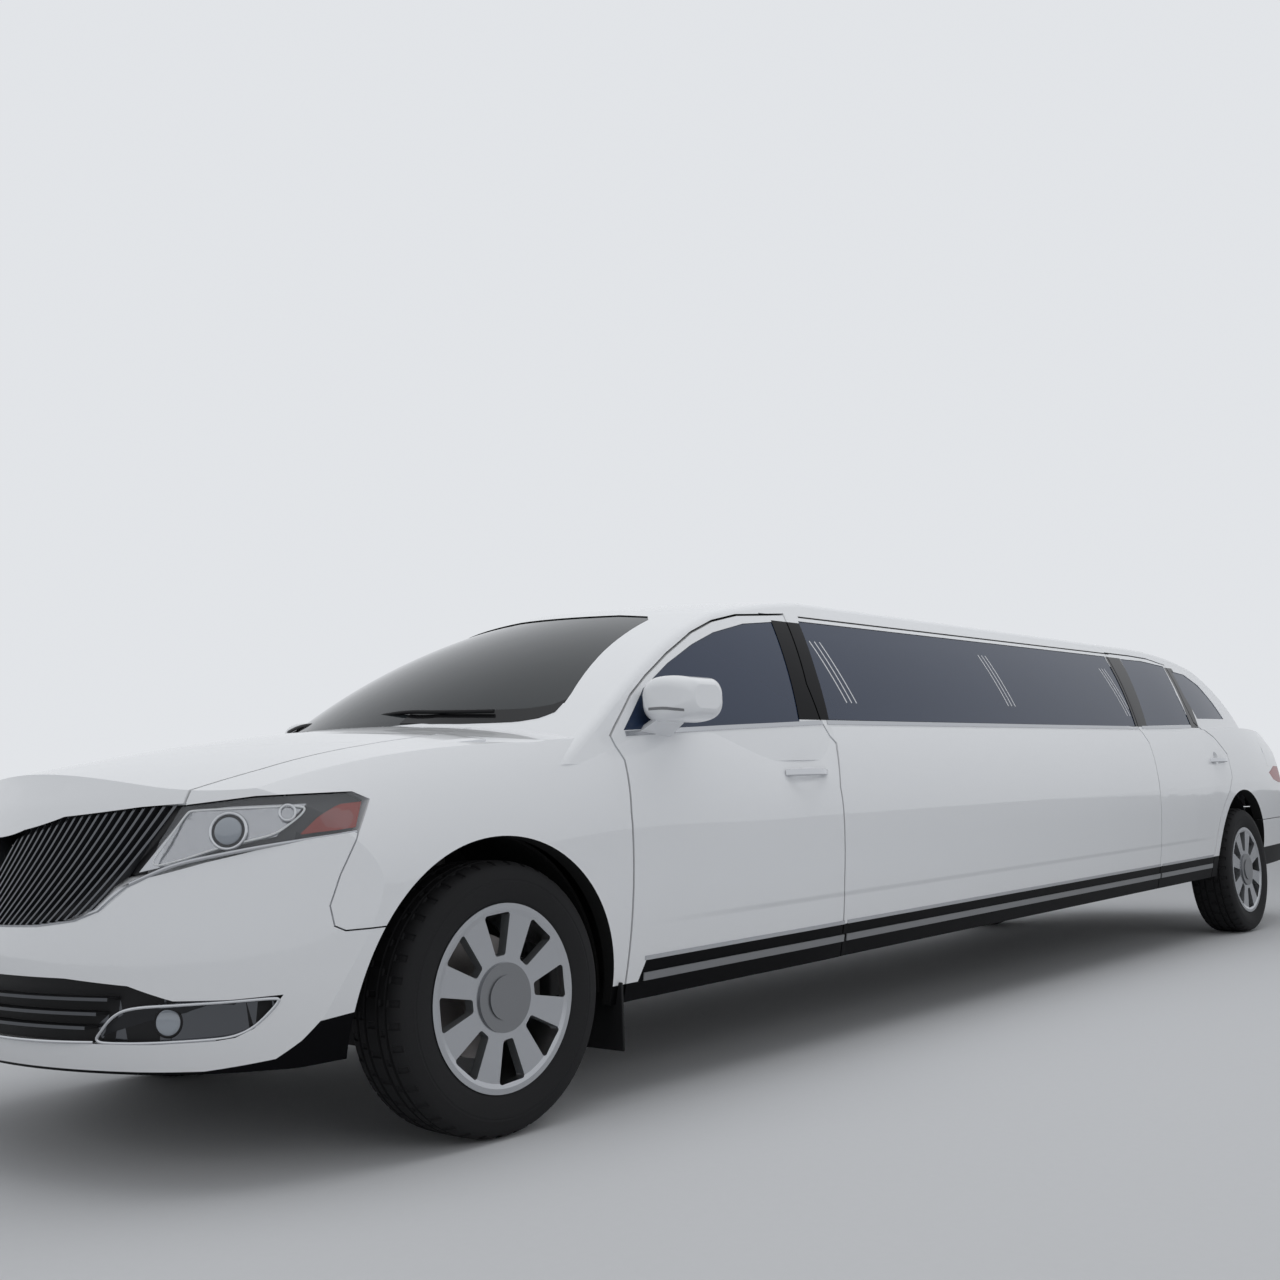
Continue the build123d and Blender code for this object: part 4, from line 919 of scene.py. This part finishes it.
def buildHeadlamp():
    def sunk(points, part):
        return [fromFront(*point) + behindLens * lampLook[part] for point in points]

    facing = Vector(lampLook["facing"]).normalized()
    sheet = lampLook["sheet"]
    edges = (sunk(reflectorUpper, "reflectorSunk"), sunk(reflectorLower, "reflectorSunk"))
    reflector = sheetBetween("lampReflector_left", *edges, 28, 8, sheet)
    guide = tube("lampGuide_left", sunk(guidePath, "guideSunk"), lampLook["guide"], True)
    place = sunk((lampLook["middle"],), "ringSunk")[0]
    barrel = roundPart(
        "lampBarrel_left", bpy.ops.mesh.primitive_cylinder_add, place - facing * sheet, facing, vertices=48,
        radius=lampLook["ring"] - 0.002, depth=lampLook["barrelDepth"],
    )
    ring = ringPart("lampRing_left", place, facing, lampLook["ring"], lampLook["ringTube"], 48, 12)
    bulge = place + facing * sheet
    lens = lensPart("lampLens_left", bulge, facing, lampLook["lens"], lampLook["lensDepth"], 40)
    cupPlace = sunk((lampLook["cupMiddle"],), "cupSunk")[0]
    cupFacing = Vector(lampLook["cupFacing"])
    cup = ringPart("lampCup_left", cupPlace, cupFacing, lampLook["cup"], lampLook["cupTube"], 32, 10)
    edges = (sunk(wedgeUpper, "wedgeSunk"), sunk(wedgeLower, "wedgeSunk"))
    wedge = sheetBetween("lampWedge_left", *edges, 10, 4, sheet)
    bothSides((
        (reflector, "body", ribbedSilver, "chrome"), (guide, "body", guideWhite, "lamp_clear"),
        (barrel, "body", lampBlack, "lamp_dark"), (ring, "body", lampSilver, "chrome"),
        (lens, "body", projectorGlass, "lamp_clear"), (cup, "body", lampSilver, "chrome"),
        (wedge, "body", wedgeRed, "lamp_red"),
    ))


# Grille: bright front edges on the bars, and a chrome line below it that runs on under the headlamp
grilleLook = {
    "nose": 0.980, "bow": 3.0, "lean": 0.2, "level": 0.61, "edge": 0.012, "frontOnly": 0.80, "facing": -0.75,
    "line": 0.011, "lineDepth": 0.007, "lineStep": 0.03, "lineLift": 0.6, "lampTube": 0.0055,
}
chromeLine = (
    (-1.003, -0.004, 0.626), (-0.998, -0.140, 0.627), (-0.980, -0.265, 0.634), (-0.950, -0.400, 0.648),
    (-0.925, -0.485, 0.672), (-0.906, -0.500, 0.694), (-0.880, -0.562, 0.732),
)
lampLine = (
    (-0.884, -0.558, 0.730), (-0.849, -0.633, 0.760), (-0.814, -0.685, 0.778), (-0.757, -0.754, 0.793),
    (-0.690, -0.815, 0.807), (-0.587, -0.876, 0.8215), (-0.472, -0.921, 0.835),
)


def buildGrille():
    grille = nodes["grille"]
    grille.data.materials.append(barEdge)
    for face in grille.data.polygons:
        bow = face.center.y ** 2 / grilleLook["bow"]
        bow += grilleLook["lean"] * (face.center.z - grilleLook["level"])
        front = frontAxle - grilleLook["nose"] + bow - grilleLook["edge"]
        front = min(front, frontAxle - grilleLook["frontOnly"])
        if face.normal.x < grilleLook["facing"] and face.center.x < front:
            face.material_index = 1
    points = [fromFront(*p) for p in chromeLine]
    settings = [grilleLook[key] for key in ("lineDepth", "lineStep", "lineLift")]
    line = skinTrack("grilleChrome_left", points, grilleLook["line"], "front_bumper", *settings)
    under = tube("lampChrome_left", [fromFront(*p) for p in lampLine], grilleLook["lampTube"])
    bothSides(((line, "body", stripChrome, "chrome"), (under, "body", stripChrome, "chrome")))


# Fog lamp pods in the ends of the lower intake, each in a chrome frame
podFrame = (
    (-0.925, -0.463, 0.352), (-0.921, -0.500, 0.385), (-0.914, -0.535, 0.416), (-0.898, -0.585, 0.437),
    (-0.830, -0.694, 0.442), (-0.749, -0.786, 0.445), (-0.668, -0.852, 0.448), (-0.655, -0.860, 0.444),
    (-0.677, -0.843, 0.413), (-0.702, -0.817, 0.381), (-0.731, -0.786, 0.363), (-0.764, -0.750, 0.357),
    (-0.855, -0.620, 0.351), (-0.900, -0.530, 0.350),
)
podUpper = (
    (-0.918, -0.515, 0.398), (-0.898, -0.583, 0.434), (-0.830, -0.692, 0.440), (-0.749, -0.784, 0.443),
    (-0.660, -0.856, 0.444),
)
podLower = (
    (-0.922, -0.470, 0.354), (-0.855, -0.618, 0.354), (-0.790, -0.714, 0.357), (-0.731, -0.784, 0.366),
    (-0.672, -0.846, 0.420),
)
sillLine = (
    (-1.012, -0.002, 0.3495), (-1.005, -0.16, 0.3495), (-0.985, -0.29, 0.3500), (-0.952, -0.400, 0.3505),
    (-0.925, -0.463, 0.3515),
)
podLook = {
    "tube": 0.0045, "ring": 0.034, "ringTube": 0.004, "lens": 0.033, "lensDepth": 0.009, "panel": 0.004,
    "inward": (0.020, 0.016, 0), "middle": (-0.838, -0.652, 0.398), "facing": (-0.82, -0.57, 0.0),
    "barHalf": 0.006, "barFacing": -0.5,
}
intakeBars = (0.455, 0.420, 0.386)


def buildPods():
    rim = tube("podFrame_left", [fromFront(*p) for p in podFrame], podLook["tube"], True)
    strip = tube("intakeStrip_left", [fromFront(*p) for p in sillLine], podLook["tube"])
    inward = Vector(podLook["inward"])
    upper = [fromFront(*p) + inward for p in podUpper]
    lower = [fromFront(*p) + inward for p in podLower]
    panel = sheetBetween("podPanel_left", upper, lower, 16, 4, podLook["panel"], 0, 35)
    facing = Vector(podLook["facing"])
    place = fromFront(*podLook["middle"]) + inward * 0.6
    bezel = ringPart("fogRing_left", place, facing, podLook["ring"], podLook["ringTube"], 40, 10)
    lens = lensPart("fogLens_left", place, facing, podLook["lens"], podLook["lensDepth"], 32)
    bothSides((
        (rim, "body", chrome, "chrome"), (strip, "body", chrome, "chrome"),
        (panel, "body", grilleDark, "grille_dark"), (bezel, "body", pianoBlack, "black_trim"),
        (lens, "body", projectorGlass, "lamp_clear"),
    ))
    intake = nodes["intake"]
    intake.data.materials.append(barEdge)
    for face in intake.data.polygons:
        onBar = any(abs(face.center.z - height) < podLook["barHalf"] for height in intakeBars)
        if onBar and face.normal.x < podLook["barFacing"]:
            face.material_index = 1


buildHeadlamp()
buildGrille()
buildPods()
print("headlamps, grille and fog lamp pods dressed")


def roundedBox(name, place, size, bevel, lean=0.0):
    piece = newPiece(name, bpy.ops.mesh.primitive_cube_add, size=1, location=place)
    piece.scale = size
    piece.rotation_euler = (0, lean, 0)
    settle(piece)
    applyModifier(piece, "BEVEL", width=bevel, segments=2)
    smooth(piece)
    return piece


# Values of a table at x, joined by a smooth curve
def curved(table, x):
    count = len(table)
    run = max(0, min(count - 2, sum(1 for row in table if row[0] <= x) - 1))
    before = table[max(run - 1, 0)]
    low = table[run]
    high = table[run + 1]
    after = table[min(run + 2, count - 1)]
    span = high[0] - low[0]
    t = (x - low[0]) / span
    values = []
    for column in range(1, len(low)):
        lowSlope = (high[column] - before[column]) / (high[0] - before[0])
        highSlope = (after[column] - low[column]) / (after[0] - low[0])
        values.append(
            (2 * t**3 - 3 * t**2 + 1) * low[column] + (t**3 - 2 * t**2 + t) * span * lowSlope
            + (3 * t**2 - 2 * t**3) * high[column] + (t**3 - t**2) * span * highSlope
        )
    return values


def straight(table, x):
    run = max(0, min(len(table) - 2, sum(1 for row in table if row[0] <= x) - 1))
    low, high = table[run], table[run + 1]
    share = (x - low[0]) / (high[0] - low[0])
    return low[1] + (high[1] - low[1]) * share


# Crown of the bonnet and wings: distance behind the front axle, top, belt height and belt half width
frontCrown = (
    (-0.8, 1.055, 0.925, 0.765), (-0.4, 1.118, 1.025, 0.830), (0.0, 1.160, 1.065, 0.872),
    (0.45, 1.182, 1.085, 0.905),
)
crownStart = (
    (0.0, -0.56), (0.2, -0.54), (0.3, -0.50), (0.4, -0.46), (0.5, -0.40), (0.55, -0.36), (0.6, -0.32),
    (0.64, -0.28), (0.684, -0.26),
)
crownEnd = (
    (0.0, -0.18), (0.2, -0.16), (0.3, -0.14), (0.4, -0.12), (0.5, -0.08), (0.55, -0.06), (0.6, -0.02),
    (0.64, 0.0), (0.684, 0.03),
)
crownLook = {
    "lift": 0.0006, "edgeDrop": 0.002, "bonnetThickness": 0.012, "thickness": 0.018, "gap": 0.006,
    "wingReach": 0.80, "wingStart": -0.27, "wingLength": 0.34, "edgeSide": 0.6835, "edgeTurn": 0.262,
    "edgeTaper": 0.0855, "tableSide": 0.684, "rows": 10, "halfColumns": 24, "wingColumns": 8,
}


def bonnetEdge(x):
    return crownLook["edgeSide"] - max(0.0, x + crownLook["edgeTurn"]) * crownLook["edgeTaper"]


def frontSkin(x, y, lift):
    top, belt, wide = curved(frontCrown, x)
    return fromFront(x, y, top - (top - belt) * (y / wide) ** 2 + bodyRake * x + lift)


def buildFrontCrown():
    count = crownLook["rows"]
    half = crownLook["halfColumns"]
    width = crownLook["wingColumns"]
    lifts = [crownLook["lift"]] * (count + 1)
    lifts[0] = lifts[-1] = -crownLook["edgeDrop"]
    bonnet = []
    wing = []
    for row, lift in enumerate(lifts):
        line = []
        for column in range(-half, half + 1):
            across = column / half
            start = straight(crownStart, abs(across) * crownLook["tableSide"])
            end = straight(crownEnd, abs(across) * crownLook["tableSide"])
            x = start + (end - start) * row / count
            line.append(frontSkin(x, across * bonnetEdge(x), lift))
        bonnet.append(line)
        x = crownLook["wingStart"] + crownLook["wingLength"] * row / count
        inner = bonnetEdge(x) + crownLook["gap"]
        line = []
        for column in range(width + 1):
            y = inner + (crownLook["wingReach"] - inner) * column / width
            line.append(frontSkin(x, -y, -crownLook["edgeDrop"] if column == width else lift))
        wing.append(line)
    dress(panelThrough("bonnetCrown", bonnet, crownLook["bonnetThickness"]), "bonnet", bodyPaint)
    bothSides(((panelThrough("wingCrown_left", wing, crownLook["thickness"]), "body", bodyPaint, "paint"),))


# Crown of the tail: distance behind the rear axle, top, belt height and half width, widest half width and
# its height
rearCrown = (
    (0.2, 1.215, 1.155, 0.890, 0.961, 0.815), (0.7, 1.205, 1.140, 0.845, 0.938, 0.800),
    (1.3, 1.150, 1.080, 0.735, 0.880, 0.760),
)
tailLean = (
    (0.70, 0.012), (0.85, 0.040), (0.95, 0.075), (1.02, 0.100), (1.10, 0.130), (1.18, 0.195), (1.26, 0.265),
    (1.34, 0.340),
)
tailStart = (
    (0.0, 0.85), (0.4, 0.81), (0.6, 0.77), (0.65, 0.77), (0.7, 0.73), (0.75, 0.69), (0.8, 0.65), (0.85, 0.61),
    (0.92, 0.55),
)
tailLook = {
    "reach": 1.258, "bow": 0.080, "bowWidth": 0.600, "round": 0.494, "roundSide": 0.4727, "foot": 1.003,
    "lift": 0.0015, "gap": 0.006, "thickness": 0.012, "skirtFoot": 0.741, "skirtHeight": 0.150,
    "cornerWidth": 0.294, "cornerThickness": 0.014, "flankStart": 0.55, "flankFoot": 0.996,
    "flankHeight": 0.150, "flankThickness": 0.010,
}
plateLook = {"height": 0.815, "size": (0.006, 0.305, 0.125), "lean": -13}


def riseBehind(x):
    return bodyRake * (x + rearAxle - frontAxle)


# Radius of the side's curve between the widest line and the belt
def bendRadius(step, height):
    return (step**2 + height**2) / (2 * step)


def onCircle(radius, away):
    return math.sqrt(max(0.0, radius**2 - away**2))


def deckHeight(x, y):
    top, belt, wide, widest, widestZ = curved(rearCrown, x)
    lift = riseBehind(x) + tailLook["lift"]
    if y <= wide:
        return top - (top - belt) * (y / wide) ** 2 + lift
    bend = bendRadius(widest - wide, belt - widestZ)
    return widestZ + onCircle(bend, y - widest + bend) + lift


def tailReach(z, y):
    width = tailLook["bowWidth"]
    reach = tailLook["reach"] - straight(tailLean, z) - tailLook["bow"] * min(1.0, y / width) ** 2
    if y > width:
        side = tailLook["roundSide"]
        reach += onCircle(tailLook["round"], y - side) - onCircle(tailLook["round"], width - side)
    return reach


# Half width of the tail's side at a height between the widest line and the belt
def flankReach(x, z):
    _, belt, wide, widest, widestZ = curved(rearCrown, x)
    bend = bendRadius(widest - wide, belt - widestZ)
    return widest - bend + onCircle(bend, z - riseBehind(x) - widestZ) + tailLook["lift"]


# Deck, rounded edge and back of the tail at one distance from the middle, front to foot
def tailProfile(y):
    z = 1.2
    for _ in range(60):
        z = (z + deckHeight(tailReach(z, y), y)) / 2
    x = tailReach(z, y)
    start = straight(tailStart, y)
    line = []
    for step in range(9):
        behind = start + (x - 0.020 - start) * step / 8
        drop = 0.003 if step == 0 else 0.0
        line.append((behind, deckHeight(behind, y) - drop))
    line.append((x - 0.007, z - 0.005))
    for step in range(9):
        height = z - 0.018 + (tailLook["foot"] - z + 0.018) * step / 8
        line.append((tailReach(height, y) + tailLook["lift"], height))
    return line


def behindRear(x, y, z):
    return Vector((rearAxle + x, y, z))


def buildTailCrown():
    gateWidths = [(tailLook["bowWidth"] - tailLook["gap"]) * column / 20 for column in range(-20, 21)]
    gate = [[behindRear(x, y, z) for x, z in tailProfile(abs(y))] for y in gateWidths]
    skirt = []
    for row in range(7):
        z = tailLook["skirtFoot"] + tailLook["skirtHeight"] * row / 6
        skirt.append([behindRear(tailReach(z, abs(y)), y, z) for y in gateWidths])
    for name, rows in (("tailgateCrown", gate), ("tailgateSkirt", skirt)):
        dress(panelThrough(name, rows, tailLook["thickness"]), "tailgate", bodyPaint)
    place = behindRear(tailReach(plateLook["height"], 0.0), 0, plateLook["height"])
    plate = roundedBox("blankPlate", place, plateLook["size"], 0.002, math.radians(plateLook["lean"]))
    dress(plate, "tailgate", blankWhite)
    corner = []
    for column in range(17):
        y = tailLook["bowWidth"] + tailLook["gap"] + tailLook["cornerWidth"] * column / 16
        corner.append([behindRear(x, -y, z) for x, z in tailProfile(y)])
    flank = []
    for row in range(9):
        z = tailLook["flankFoot"] + tailLook["flankHeight"] * row / 8
        x = 0.80
        for _ in range(40):
            x = (x + tailReach(z, flankReach(x, z))) / 2
        start = tailLook["flankStart"]
        steps = [start + (x - start) * column / 16 for column in range(17)]
        flank.append([behindRear(step, -flankReach(step, z), z) for step in steps])
    bothSides((
        (panelThrough("cornerCrown_left", corner, tailLook["cornerThickness"]), "body", bodyPaint, "paint"),
        (panelThrough("cornerFlank_left", flank, tailLook["flankThickness"]), "body", bodyPaint, "paint"),
    ))


# Gloss black border at the foot of the windscreen, the wipers and the flaps behind the front wheels
screenFoot = (
    (0.4037, -0.7472, 1.1766), (0.3627, -0.7218, 1.1588), (0.3128, -0.6614, 1.1497),
    (0.2706, -0.5925, 1.1507), (0.2205, -0.5082, 1.1527), (0.1756, -0.416, 1.1585), (0.1399, -0.31, 1.1655),
)
wiperRuns = (
    ((0.148, -0.10, 1.208), (0.170, -0.26, 1.198), (0.225, -0.43, 1.187), (0.300, -0.58, 1.190)),
    ((0.245, 0.47, 1.190), (0.180, 0.30, 1.198), (0.150, 0.12, 1.207), (0.148, -0.02, 1.210)),
)
screenLook = {
    "facing": (-0.54, -0.31, 0.78), "stand": 0.002, "border": (0.062, 0.004, 0.043), "thickness": 0.003,
    "wiperLift": 0.014, "wiper": 0.0065,
}
flapLook = {"behind": 0.470, "side": -0.830, "height": 0.255, "size": (0.010, 0.200, 0.200)}


def buildScreenFoot():
    out = Vector(screenLook["facing"]) * screenLook["stand"]
    lower = [fromFront(*point) + out for point in screenFoot]
    upper = [point + Vector(screenLook["border"]) for point in lower]
    border = sheetBetween("screenBorder_left", upper, lower, 18, 3, screenLook["thickness"])
    bothSides(((border, "body", pianoBlack, "black_trim"),))
    for number, run in enumerate(wiperRuns):
        path = [onSkin("windscreen", fromFront(*point), screenLook["wiperLift"])[0] for point in run]
        dress(tube(f"wiper_{number}", path, screenLook["wiper"]), "body", blackTrim)


def buildFlaps():
    place = (frontAxle + flapLook["behind"], flapLook["side"], flapLook["height"])
    flap = roundedBox("mudFlap_left", place, flapLook["size"], 0.004)
    bothSides(((flap, "body", blackTrim, "black_trim"),))


# Mirror glass on the rearward faces of the door mirrors, and the thin signal strip on their fronts
signalRun = ((0.612, -0.960, 1.175), (0.625, -1.050, 1.172), (0.640, -1.075, 1.172))
signalLook = {"width": 0.009, "thickness": 0.0016, "step": 0.02, "rearward": 0.8}


def finishMirrors():
    for sideName, _ in sides:
        mirror = nodes[f"door_mirror_{sideName}"]
        mirror.data.materials.append(mirrorGlass)
        for face in mirror.data.polygons:
            if face.normal.x > signalLook["rearward"]:
                face.material_index = 1
    points = [fromFront(*point) for point in signalRun]
    settings = [signalLook[key] for key in ("thickness", "step")]
    strip = skinTrack("mirrorSignal_left", points, signalLook["width"], "door_mirror_left", *settings)
    bothSides(((strip, "front_left_door", ledgeHighlightAndSignalGrey, "lamp_clear"),))


buildFrontCrown()
buildTailCrown()
buildScreenFoot()
buildFlaps()
finishMirrors()
print("crowns, screen border, wipers, flaps and mirrors done")

# Padded seats in the place of the plain ones
seatLook = {
    "inset": 0.012, "pressure": 4.0, "frames": 20, "reach": 0.026, "lean": 0.24, "corner": 0.22,
    "side": 0.385,
}
# Each block: its middle behind the front axle, its size, whether it leans back, and the grain of its mesh
frontBlocks = (
    ((1.295, 0.0, 0.501), (0.49, 0.53, 0.278), 0, 0.014),
    ((1.590, 0.0, 0.888), (0.15, 0.50, 0.655), 1, 0.014),
    ((1.705, 0.0, 1.278), (0.10, 0.24, 0.190), 0, 0.012),
)
benches = (
    ("paddedSideBench", "side_bench", (
        ((3.205, -0.580, 0.541), (2.71, 0.48, 0.358), 0, 0.024),
        ((3.205, -0.745, 0.925), (2.71, 0.15, 0.400), 0, 0.022),
    )),
    ("paddedRearBench", "rear_bench", (
        ((5.500, 0.0, 0.571), (0.64, 1.18, 0.418), 0, 0.020),
        ((5.910, 0.0, 0.975), (0.16, 1.18, 0.540), 1, 0.020),
    )),
)


def buildCushion(name, middle, size, leaning, voxel):
    centre = fromFront(middle[0], middle[1], middle[2] + bodyRake * middle[0])
    piece = newPiece(name, bpy.ops.mesh.primitive_cube_add, size=1, location=centre)
    piece.scale = [length - 2 * seatLook["inset"] for length in size]
    settle(piece)
    applyModifier(piece, "BEVEL", width=seatLook["corner"] * min(size), segments=3)
    if leaning:
        for vertex in piece.data.vertices:
            vertex.co.x += (vertex.co.z - centre.z) * seatLook["lean"]
    piece.data.remesh_voxel_size = voxel
    makeActive(piece)
    bpy.ops.object.voxel_remesh()
    start = [vertex.co.copy() for vertex in piece.data.vertices]
    cloth = piece.modifiers.new("Cloth", "CLOTH")
    cloth.settings.use_pressure = True
    cloth.settings.uniform_pressure_force = seatLook["pressure"]
    cloth.settings.effector_weights.gravity = 0
    for frameNumber in range(1, seatLook["frames"] + 1):
        bpy.context.scene.frame_set(frameNumber)
    bpy.ops.object.modifier_apply(modifier=cloth.name)
    bpy.context.scene.frame_set(1)
    for vertex, before in zip(piece.data.vertices, start):
        move = vertex.co - before
        if move.length > seatLook["reach"]:
            vertex.co = before + move * (seatLook["reach"] / move.length)
    smooth(piece, 60)
    return piece


def buildSeats():
    chairs = []
    for sideName, side in sides:
        for number, (middle, size, leaning, voxel) in enumerate(frontBlocks):
            place = (middle[0], side * seatLook["side"], middle[2])
            chairs.append(buildCushion(f"chair_{number}_{sideName}", place, size, leaning, voxel))
    groups = [("paddedFrontSeats", chairs, "front_seats")]
    for name, node, blocks in benches:
        pieces = [buildCushion(f"{name}_{number}", *block) for number, block in enumerate(blocks)]
        groups.append((name, pieces, node))
    for name, pieces, node in groups:
        seat = joined(name, pieces)
        dress(seat, "body", blackLeather)
        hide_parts(node)


buildSeats()
print("padded seats in place")

# Stage: pale floor and a plain backdrop, three soft lamps and the camera
stageLook = {
    "floor": (0.62, 0.63, 0.65), "floorSize": 120, "floorDrop": -0.0005, "grain": (40, 0.03, 0.75, 0.1),
    "sky": (0.86, 0.88, 0.90), "skyStrength": 0.45, "seen": (0.80, 0.82, 0.85), "seenStrength": 0.95,
}
# Each lamp: place, target, size and power
lamps = {
    "overheadSoft": ((-1.0, -1.0, 6.5), (-0.5, 0, 0.5), (9.0, 5.0), 180),
    "leftSoft": ((-3.5, -8.5, 4.0), (-0.5, 0, 0.7), (8.0, 3.5), 95),
    "frontSoft": ((-9.5, 0.5, 3.6), (-3.0, 0, 0.6), (4.0, 3.0), 45),
}


def buildFloor():
    spread = {"size": stageLook["floorSize"], "location": (0, 0, stageLook["floorDrop"])}
    floor = newPiece("stageFloor", bpy.ops.mesh.primitive_plane_add, **spread)
    settle(floor)
    material, tree, shader = newMaterial("paleFloor")
    wireSpeckle(tree, speckled(tree, stageLook["floor"], *stageLook["grain"]), shader)
    floor.data.materials.append(material)


def buildSky():
    world = bpy.data.worlds.new("softSky")
    bpy.context.scene.world = world
    world.use_nodes = True
    tree = world.node_tree
    sky = tree.nodes["Background"]
    seen = addNode(tree, "ShaderNodeBackground")
    for node, name in ((sky, "sky"), (seen, "seen")):
        node.inputs["Color"].default_value = (*stageLook[name], 1)
        node.inputs["Strength"].default_value = stageLook[name + "Strength"]
    rays = addNode(tree, "ShaderNodeLightPath").outputs
    shown = calc(tree, rays["Is Camera Ray"], "MAXIMUM", rays["Is Glossy Ray"])
    shown = calc(tree, shown, "MAXIMUM", rays["Is Transmission Ray"])
    mix = addNode(tree, "ShaderNodeMixShader")
    wire(
        tree,
        (shown, mix.inputs[0]), (sky.outputs[0], mix.inputs[1]), (seen.outputs[0], mix.inputs[2]),
        (mix.outputs[0], tree.nodes["World Output"].inputs["Surface"]),
    )


def addLamp(name, place, target, size, power):
    bpy.ops.object.light_add(type="AREA", location=place)
    lamp = bpy.context.active_object
    lamp.name = name
    lamp.data.shape = "RECTANGLE"
    lamp.data.size = size[0]
    lamp.data.size_y = size[1]
    lamp.data.energy = power
    lamp.rotation_euler = (Vector(target) - Vector(place)).to_track_quat("-Z", "Y").to_euler()
    lamp.visible_glossy = False


cameraFit = {
    "place": (-5.6355, -3.717, 0.853), "yaw": 41.91, "pitch": 7.42, "roll": -2.28, "focal": 1330.0,
    "frame": 1280.0, "sensor": 36, "near": 0.05,
}


def buildCamera():
    bpy.ops.object.camera_add(location=cameraFit["place"])
    camera = bpy.context.active_object
    camera.name = "photoCamera"
    camera.data.sensor_width = cameraFit["sensor"]
    camera.data.lens = cameraFit["sensor"] * cameraFit["focal"] / cameraFit["frame"]
    camera.data.clip_start = cameraFit["near"]
    yaw = math.radians(cameraFit["yaw"])
    pitch = math.radians(cameraFit["pitch"])
    look = Vector((math.cos(pitch) * math.cos(yaw), math.cos(pitch) * math.sin(yaw), math.sin(pitch)))
    turn = look.to_track_quat("-Z", "Y").to_matrix()
    roll = math.radians(cameraFit["roll"])
    right = turn.col[0] * math.cos(roll) + turn.col[1] * math.sin(roll)
    up = turn.col[1] * math.cos(roll) - turn.col[0] * math.sin(roll)
    for row in range(3):
        turn[row][0] = right[row]
        turn[row][1] = up[row]
    camera.rotation_euler = turn.to_euler()
    bpy.context.scene.camera = camera


buildFloor()
buildSky()
for lampName, settings in lamps.items():
    addLamp(lampName, *settings)
buildCamera()
bpy.context.scene.view_settings.view_transform = "Standard"
print("stage ready")
